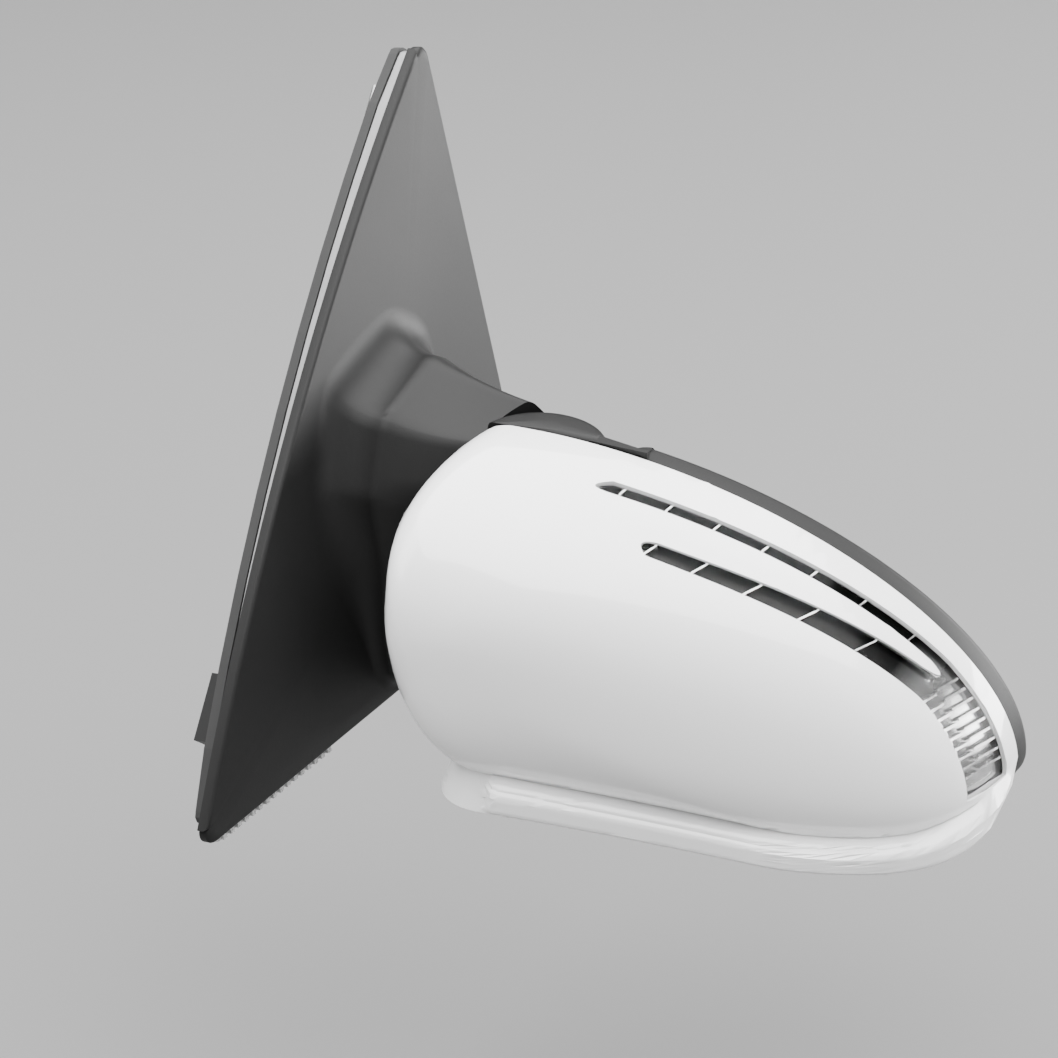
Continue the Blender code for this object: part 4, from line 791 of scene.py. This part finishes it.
def joined(name, *parts):
    """Several closed shapes as one piece."""
    whole = bmesh.new()
    for part in parts:
        whole.from_mesh(part.data)
    mesh = parts[0].data.copy()
    whole.to_mesh(mesh)
    whole.free()
    made = bpy.data.objects.new(name, mesh)
    bpy.context.scene.collection.objects.link(made)
    for part in parts:
        bpy.data.objects.remove(part)
    made.data.set_sharp_from_angle(angle=math.radians(35))
    return made


def cut_away(piece, tool):
    change = piece.modifiers.new("cut", "BOOLEAN")
    change.operation = "DIFFERENCE"
    change.solver = "EXACT"
    change.object = tool
    bpy.context.view_layer.update()
    evaluated = piece.evaluated_get(bpy.context.evaluated_depsgraph_get())
    mesh = bpy.data.meshes.new_from_object(evaluated)
    piece.modifiers.clear()
    piece.data = mesh
    bpy.data.objects.remove(tool)


# ---- Housing skin and its turn signal ----
def make_cap(paint, lens, tray, walls):
    fork = signal_fork()
    creases = [along_lip(share) for share in (0.0, 0.03, 0.06, 0.12, 0.2, 0.38, 0.6, 0.8, 0.92)]
    cap = cap_shell("painted_cap_skin", [cap_loop(), fork], 0, CAP_WALL, paint, 0.0030, creases)
    fit(cap, "housing", "white_paint", "painted_cap")
    seat = shrunk(fork, 0.0004) if loop_area(fork) > 0 else shrunk(fork[::-1], 0.0004)
    cover = cap_shell("signal_lens_cover", [seat], 0.0001, 0.0016, lens, 0.0030)
    fit(cover, "housing", "clear_lens", "signal_lens")
    floor = shrunk(fork, -0.0015) if loop_area(fork) > 0 else shrunk(fork[::-1], -0.0015)
    pan = cap_shell("signal_tray", [floor], 0.0040, 0.0050, tray, 0.0035)
    fit(pan, "housing", "chrome", "signal_reflector")
    cells = make_signal_cells(walls)
    fit(cells, "housing", "chrome")


def loop_area(loop):
    return sum(ax * by - bx * ay for (ax, ay), (bx, by) in zip(loop, loop[1:] + loop[:1])) / 2


def signal_spot(first, second, part, turn):
    """A point between two lines of the signal, the way across and the surface's normal there."""
    rises = []
    for line in (first, second):
        near, drop, start = SIGNAL_LINES[line]
        rises.append(signal_line(near, drop, start, turn))
    rise = rises[0] * (1 - part) + rises[1] * part
    across = dome(turn, rises[1]) - dome(turn, rises[0])
    return dome(turn, rise), across, dome_normal(turn, rise)


def make_signal_cells(finish):
    """Walls between the lamp cells, placed by a tree that turns and stretches one rib."""
    rows = []
    prongs = ((0, 1, UPPER_TIP[1] + 0.010, 0.246), (2, 3, LOWER_TIP[1] + 0.006, 0.236))
    for first, second, x, end_x in prongs:
        while x < end_x:
            turn = turn_at_x(x, SIGNAL_LINES[first][0] - 0.004)
            rows.append((*signal_spot(first, second, 0.5, turn), 0.0006, 0.92))
            x += CELL_PITCH
    for k in range(9):
        turn = math.radians(TONGUE_END - 1.2 - 1.15 * k)
        rows.append((*signal_spot(0, 3, 0.30, turn), 0.0009, 0.50))
        rows.append((*signal_spot(0, 3, 0.80, turn - 0.006), 0.0009, 0.30))
    mesh = bpy.data.meshes.new("signal_cell_spots")
    mesh.from_pydata([tuple(spot - normal * 0.0029) for spot, across, normal, _, _ in rows], [], [])
    turned = mesh.attributes.new("turned", "FLOAT_VECTOR", "POINT")
    spread = mesh.attributes.new("spread", "FLOAT_VECTOR", "POINT")
    for k, (spot, across, normal, thick, share) in enumerate(rows):
        side = across.normalized()
        up = (normal - side * normal.dot(side)).normalized()
        basis = Matrix((side, up.cross(side), up)).transposed()
        turned.data[k].vector = basis.to_euler()
        spread.data[k].vector = (across.length * share, thick, 0.0021)
    spots = bpy.data.objects.new("signal_cell_walls", mesh)
    bpy.context.scene.collection.objects.link(spots)
    return grown(spots, rib_tree(finish), finish)


def rib_tree(finish):
    """Stands one rib on every point, turned and stretched by the point's own attributes."""
    tree = bpy.data.node_groups.new("rib_rows", "GeometryNodeTree")
    tree.interface.new_socket("Geometry", in_out="INPUT", socket_type="NodeSocketGeometry")
    size = tree.interface.new_socket("Rib size", in_out="INPUT", socket_type="NodeSocketFloat")
    size.default_value = 1.0
    tree.interface.new_socket("Geometry", in_out="OUTPUT", socket_type="NodeSocketGeometry")
    enter, leave = tree.nodes.new("NodeGroupInput"), tree.nodes.new("NodeGroupOutput")
    rib = tree.nodes.new("GeometryNodeMeshCube")
    rib.inputs["Size"].default_value = (1, 1, 1)
    angles, sizes = (tree.nodes.new("GeometryNodeInputNamedAttribute") for _ in range(2))
    for made, name in ((angles, "turned"), (sizes, "spread")):
        made.data_type = "FLOAT_VECTOR"
        made.inputs["Name"].default_value = name
    grow = tree.nodes.new("ShaderNodeVectorMath")
    grow.operation = "SCALE"
    stand = tree.nodes.new("GeometryNodeInstanceOnPoints")
    real = tree.nodes.new("GeometryNodeRealizeInstances")
    coat = tree.nodes.new("GeometryNodeSetMaterial")
    coat.inputs["Material"].default_value = finish
    link = tree.links.new
    link(sizes.outputs["Attribute"], grow.inputs[0])
    link(enter.outputs["Rib size"], grow.inputs["Scale"])
    link(enter.outputs["Geometry"], stand.inputs["Points"])
    link(rib.outputs["Mesh"], stand.inputs["Instance"])
    link(angles.outputs["Attribute"], stand.inputs["Rotation"])
    link(grow.outputs["Vector"], stand.inputs["Scale"])
    link(stand.outputs["Instances"], real.inputs["Geometry"])
    link(real.outputs["Geometry"], coat.inputs["Geometry"])
    link(coat.outputs["Geometry"], leave.inputs["Geometry"])
    return tree


def grown(seed, tree, finish):
    """Runs a tree on the seed object and keeps the plain mesh that it makes."""
    change = seed.modifiers.new("grow", "NODES")
    change.node_group = tree
    size = next(item for item in tree.interface.items_tree if item.name == "Rib size")
    change[size.identifier] = size.default_value
    bpy.context.view_layer.update()
    evaluated = seed.evaluated_get(bpy.context.evaluated_depsgraph_get())
    mesh = bpy.data.meshes.new_from_object(evaluated)
    seed.modifiers.clear()
    seed.data = mesh
    mesh.materials.clear()
    mesh.materials.append(finish)
    return seed


# ---- Glass surround and glass ----
def make_bezel(black, mirror):
    outline = bezel_outline()
    section = [(0, 0.0005), (0, 0.0080), (0.0005, 0.0102), (0.0014, 0.0118), (0.0026, 0.0127)]
    section += [(0.0040, 0.0130), (0.0052, 0.0127), (0.0060, 0.0120), (0.0065, 0.0112)]
    section += [(0.0067, 0.0090), (0.0072, -0.0040)]
    section += [(0.0052, -0.0040), (0.0048, 0.0085), (0.0025, 0.0090), (0.0025, 0.0005)]
    rings = [[on_seam(x, z, deep) for x, z in shrunk(outline, inset)] for inset, deep in section]
    fit(lofted("glass_surround", rings, black, close=False), "housing", "satin_black", "bezel")
    normal = Vector((-SWEEP, 1, 0)).normalized()
    place = lambda x, z, out: on_seam(x, z, GLASS_DEPTH) + normal * out
    pane = slab("reflecting_glass", [inside_by(outline, GLASS_INSET)], -0.0020, 0, mirror, place)
    fit(pane, "glass", "mirror", "mirror_glass")


def make_inboard_shell(black):
    start, end = BARREL_START, BARREL_END
    outer = arc(0, 0, BARREL_RADIUS, BARREL_RADIUS, start, end, 100)
    inner = arc(0, 0, BARREL_RADIUS - BARREL_WALL, BARREL_RADIUS - BARREL_WALL, start, end, 100)
    wall = slab("barrel", [outer + inner[::-1]], BARREL_LOW, BARREL_HIGH, black, about_pivot)
    last = math.radians(end - 3)
    along = Vector((math.cos(last), math.sin(last), 0))
    side = Vector((-along.y, along.x, 0))
    edge = []
    for k in range(25):
        z = BARREL_LOW + 0.001 + (BARREL_HIGH - BARREL_LOW - 0.002) * k / 24
        far = BARREL_RADIUS - 0.001
        while inside_cap(Vector((PIVOT_X, PIVOT_Y, z)) + along * (far + 0.006)) < 1 and far < 0.060:
            far += 0.0005
        edge.append((far, z))
    web_loop = [(BARREL_RADIUS - 0.0012, edge[0][1])] + edge + [(BARREL_RADIUS - 0.0012, edge[-1][1])]
    at_web = lambda r, z, t: Vector((PIVOT_X, PIVOT_Y, z)) + along * r + side * t
    web = slab("web", [without_repeats(web_loop)], -BARREL_WALL / 2, BARREL_WALL / 2, black, at_web)
    radius = BARREL_RADIUS - 0.0001
    lid_loop = arc(0, 0, radius, radius, start + 1, end - 1, 90) + [(0.004, -0.020), (0.017, -0.008)]
    lid = slab("lid", [lid_loop], BARREL_HIGH - 0.0012, BARREL_HIGH + 0.0013, black, about_pivot)
    rings = []
    crown_steps = [(0.0002, BARREL_HIGH + 0.0003), (0.0002, 0.0520), (0.0005, 0.0535)]
    crown_steps += [(0.0012, 0.0546), (0.0024, 0.0553), (0.004, 0.0555)]
    for inset, z in crown_steps:
        rings.append([about_pivot(x, y, z) for x, y in crown_loop(inset)])
    crown = lofted("crown", rings, black)
    corner = lofted("corner", corner_rings(), black)
    fit(joined("inboard_barrel", wall, web, lid, crown, corner), "housing", "satin_black", "inboard_shell")


def corner_rings():
    """Slices of the black corner that runs from the crown over the surround's rounded corner."""
    rings = []
    for k in range(17):
        part = k / 16
        x = BEZEL_INNER_X - 0.0045 + 0.0230 * part
        top = 0.0551 + (HOUSING_TOP - 0.0556) * part - 0.0012 * part
        low = min(top - 0.0012, max(BARREL_HIGH + 0.0004, bezel_top(x) + 0.0006))
        deep, soft = 0.0070 - 0.0042 * part, 0.0005
        loop = ((0.0008, low), (deep, low), (deep, top - soft), (deep - soft, top), (0.0008, top))
        rings.append([on_seam(x, z, y) for y, z in loop])
    return rings


def bezel_top(x):
    best = -1.0
    outline = bezel_outline()
    for (ax, az), (bx, bz) in zip(outline, outline[1:] + outline[:1]):
        if ax != bx and min(ax, bx) <= x <= max(ax, bx):
            best = max(best, az + (bz - az) * (x - ax) / (bx - ax))
    return best


def inside_cap(point):
    turn = math.atan2(point.z - NOSE.z, point.x - NOSE.x)
    power = roundness(turn % math.tau)
    out = math.hypot(point.z - NOSE.z, point.x - NOSE.x) / looked_up(REACHES, turn)
    return out**power + (max(0.0, seam_y(point.x) - point.y) / NOSE_DEPTH) ** power


def crown_loop(inset):
    radius = BARREL_RADIUS - inset
    line = lambda x: SEAM_Y - PIVOT_Y + SWEEP * x + 0.0008 + inset
    loop = arc(0, 0, radius, radius, BARREL_START + 1, CROWN_END, 80)
    return loop + [(0.0, line(0.0)), (loop[0][0], line(loop[0][0]))]


# ---- Base cover ----
NECK_CENTRE = (0.008, 0.0)
NECK_SPAN = 0.033


def neck_root(inset):
    low, top = NECK_ROOT_BOTTOM, NECK_ROOT_TOP
    corners = [(-0.022, low), (0.040, low), (0.042, top - 0.010), (0.026, top)]
    corners += [(-0.010, top - 0.012), (-0.024, 0.020)]
    return shrunk(rounded(corners, 0.012), inset)


def neck_end(inset):
    low, top, side = FOOT_BOTTOM, FOOT_TOP, NECK_SPAN
    corners = [(-side, low), (side, low), (side, top - 0.009), (0.6 * side, top), (-0.55 * side, top - 0.012)]
    return shrunk(rounded(corners + [(-side, top - 0.030)], 0.008), inset)


def on_end(across, z, radius):
    turn = math.radians(156) - math.radians(44) * across / NECK_SPAN
    return about_pivot(radius * math.cos(turn), radius * math.sin(turn), z)


def fillet_radius(turn):
    up, along = math.sin(turn), math.cos(turn)
    side = 0.010 if along > 0 else 0.016
    return side * along * along + (0.020 if up >= 0 else 0.003) * up * up


def ring_turns():
    turns = [math.atan2(v - NECK_CENTRE[1], u - NECK_CENTRE[0]) % math.tau for u, v in base_outline()]
    for k in range(120):
        turn = math.tau * k / 120
        if all(abs(turn - other) > 0.012 for other in turns):
            turns.append(turn)
    return sorted(turns)


def cover_rings(inset):
    turns = ring_turns()
    root, end = neck_root(inset), neck_end(inset)
    rims = [(0, COVER_LOW), (0, COVER_HIGH - 0.0015), (0.0002, COVER_HIGH - 0.0009)]
    rims += [(0.0005, COVER_HIGH - 0.0005), (0.0010, COVER_HIGH - 0.0001), (0.0018, COVER_HIGH)]
    around = lambda out, turn: (NECK_CENTRE[0] + out * math.cos(turn), NECK_CENTRE[1] + out * math.sin(turn))
    rings = []
    for more, high in rims if inset == 0 else (rims[0], rims[-1]):
        outline = base_outline(inset + more)
        spots = [around(reach(outline, *NECK_CENTRE, turn), turn) for turn in turns]
        rings.append([on_base(u, v, max(COVER_LOW, high - inset)) for u, v in spots])
    for step in range(13):
        lift = math.pi / 2 * step / 12
        ring = []
        for turn in turns:
            radius = fillet_radius(turn)
            out = reach(root, *NECK_CENTRE, turn) + inset + radius - (radius + inset) * math.sin(lift)
            ring.append(on_base(*around(out, turn), COVER_HIGH + radius - (radius + inset) * math.cos(lift)))
        rings.append(ring)
    start = rings[-1]
    outs = [reach(end, 0, 0, turn) for turn in turns]
    finish = [on_end(o * math.cos(t), o * math.sin(t), END_RADIUS + inset) for o, t in zip(outs, turns)]
    for k in range(1, 17):
        part = k / 16
        ring = []
        for a, b in zip(start, finish):
            up = 1 - (1 - part) ** (1 + 1.2 * smooth(a.z / 0.060))
            ring.append(Vector((a.x + (b.x - a.x) * part, a.y + (b.y - a.y) * part, a.z + (b.z - a.z) * up)))
        rings.append(ring)
    for part in (0.97, 0.66, 0.33, 0.02):
        spots = [(o * math.cos(t) * part, o * math.sin(t) * part) for o, t in zip(outs, turns)]
        rings.append([on_end(*spot, END_RADIUS + inset) for spot in spots])
    return rings


def make_cover(black):
    outer, inner = cover_rings(0), cover_rings(COVER_WALL)
    cover = lofted("sail_skin", outer[::-1] + inner, black)
    side, low, high = PIVOT_X - DISC_RADIUS, ARM_LOW - ARM_ROOM, ARM_HIGH + ARM_ROOM
    front, rear = PIVOT_Y + ARM_FRONT - ARM_ROOM, PIVOT_Y + ARM_REAR + ARM_ROOM
    slot = [(PIVOT_X - 0.036, front), (side, front), (PIVOT_X - 0.008, front)]
    slot += [(PIVOT_X - 0.008, rear), (side, rear), (PIVOT_X - 0.036, rear)]
    place = lambda x, y, z: Vector((x, y, z + ARM_RISE * max(0.0, side - x)))
    cut_away(cover, slab("slot", [slot], low, high, black, place))
    cover.data.set_sharp_from_angle(angle=math.radians(35))
    fit(cover, "base", "satin_black", "sail_cover")


# ---- Plain nodes that stay get their own finishes ----
def coat_nodes(finishes):
    wanted = {
        "cast": ("base_bracket",),
        "seal": ("door_gasket", "cable_grommet"),
        "sponge": ("foam_strip",),
        "black": ("connector_socket", "locating_peg"),
        "grey": ("bottom_shell", "housing_frame", "puddle_lamp_housing", "glass_carrier"),
        "lens": ("puddle_lamp_lens",),
        "steel": (
            "cover_screw_1", "cover_screw_2", "cover_screw_3", "pivot_post", "detent_ring",
            "fold_spring", "spring_retainer", "spring_clip", "fold_motor", "tilt_motor_1",
            "tilt_motor_2", "frame_screw_1", "frame_screw_2", "frame_screw_3", "fold_worm",
            "gimbal_ring",
        ),
        "brass": (
            "thread_insert_1", "thread_insert_2", "thread_insert_3",
            "clutch_gear", "jackscrew_1", "jackscrew_2",
        ),
        "nylon": ("fold_drive_case", "actuator_case", "actuator_cover", "nut_gear_1", "nut_gear_2"),
        "board": ("signal_board",),
        "film": ("heater_pad",),
    }
    for key, names in wanted.items():
        for name in names:
            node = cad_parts[name]
            node.data.materials.clear()
            node.data.materials.append(finishes[key])


# ---- Stage ----
def make_stage():
    floor = bpy.data.meshes.new("floor")
    floor.from_pydata([(-6, -6, 0), (6, -6, 0), (6, 6, 0), (-6, 6, 0)], [], [(0, 1, 2, 3)])
    floor.transform(Matrix.Translation((0, 0, cad_box[0][2] - 0.16)))
    pale = Finish("pale_floor", Roughness=0.9)
    pale.set("Base Color", pale.mix(pale.noise(3, 2), grey(0.155), grey(0.16)))
    floor.materials.append(pale.material)
    ground = bpy.data.objects.new("floor", floor)
    bpy.context.scene.collection.objects.link(ground)
    world = bpy.context.scene.world or bpy.data.worlds.new("studio")
    bpy.context.scene.world = world
    world.use_nodes = True
    world.node_tree.nodes["Background"].inputs["Color"].default_value = (1, 1, 1, 1)
    world.node_tree.nodes["Background"].inputs["Strength"].default_value = 0.35
    softbox("top_softbox", (0.0, 0.1, 1.6), (0.10, 0.0, 0.0), 3.0, 3.0, 240)
    softbox("left_softbox", (-1.2, -0.9, 0.9), (0.10, 0.0, 0.0), 1.0, 1.0, 14)
    softbox("right_softbox", (1.5, -0.1, 0.5), (0.20, 0.0, 0.0), 0.8, 1.2, 5)
    softbox("rear_softbox", (1.10, 1.40, 0.14), (-0.02, 0.06, 0.12), 1.8, 0.6, 70)


def softbox(name, spot, target, width, height, power):
    light = bpy.data.lights.new(name, "AREA")
    light.shape = "RECTANGLE"
    light.size, light.size_y, light.energy = width, height, power
    lamp = bpy.data.objects.new(name, light)
    lamp.location = spot
    lamp.rotation_euler = (Vector(spot) - Vector(target)).to_track_quat("Z", "Y").to_euler()
    lamp.visible_camera = False
    bpy.context.scene.collection.objects.link(lamp)


def make_camera():
    azimuth, elevation = math.radians(33), math.radians(30)
    flat = Vector((math.sin(azimuth), -math.cos(azimuth), 0))
    back = flat * math.cos(elevation) + Vector((0, 0, math.sin(elevation)))
    right = Vector((math.cos(azimuth), math.sin(azimuth), 0))
    up = back.cross(right)
    lens = bpy.data.cameras.new("camera")
    lens.lens, lens.sensor_width, lens.clip_start = 102.08, 36, 0.01
    camera = bpy.data.objects.new("camera", lens)
    turned = Matrix((right, up, back)).transposed().to_4x4()
    camera.matrix_world = Matrix.Translation((0.6222, -0.8302, 0.5905)) @ turned
    bpy.context.scene.collection.objects.link(camera)
    bpy.context.scene.camera = camera


def main():
    make_camera()
    make_stage()
    black = grained_black()
    gloss_black = grained_black("surround_black_plastic", 0.006, 0.012, 0.46, 0.00002)
    lens = clear_cover()
    make_cap(gloss_paint(), lens, reflector_metal(), bright_metal())
    make_bezel(gloss_black, silvered_glass())
    make_inboard_shell(black)
    make_cover(black)
    coat_nodes({
        "cast": cast_metal(),
        "seal": rubber(),
        "sponge": foam(),
        "black": black,
        "grey": matte_plastic("dark_grey_plastic", grey(0.030), grey(0.050)),
        "lens": lens,
        "steel": worked_metal("plated_steel", grey(0.42), grey(0.62), 0.25),
        "brass": worked_metal("machined_brass", (0.60, 0.42, 0.16, 1), (0.76, 0.56, 0.24, 1), 0.28),
        "nylon": matte_plastic("natural_nylon", (0.60, 0.57, 0.49, 1), (0.70, 0.67, 0.58, 1), 0.45),
        "board": matte_plastic("circuit_board", (0.02, 0.09, 0.04, 1), (0.03, 0.13, 0.06, 1), 0.4),
        "film": matte_plastic("heater_film", (0.45, 0.22, 0.08, 1), (0.60, 0.32, 0.12, 1), 0.5),
    })


main()
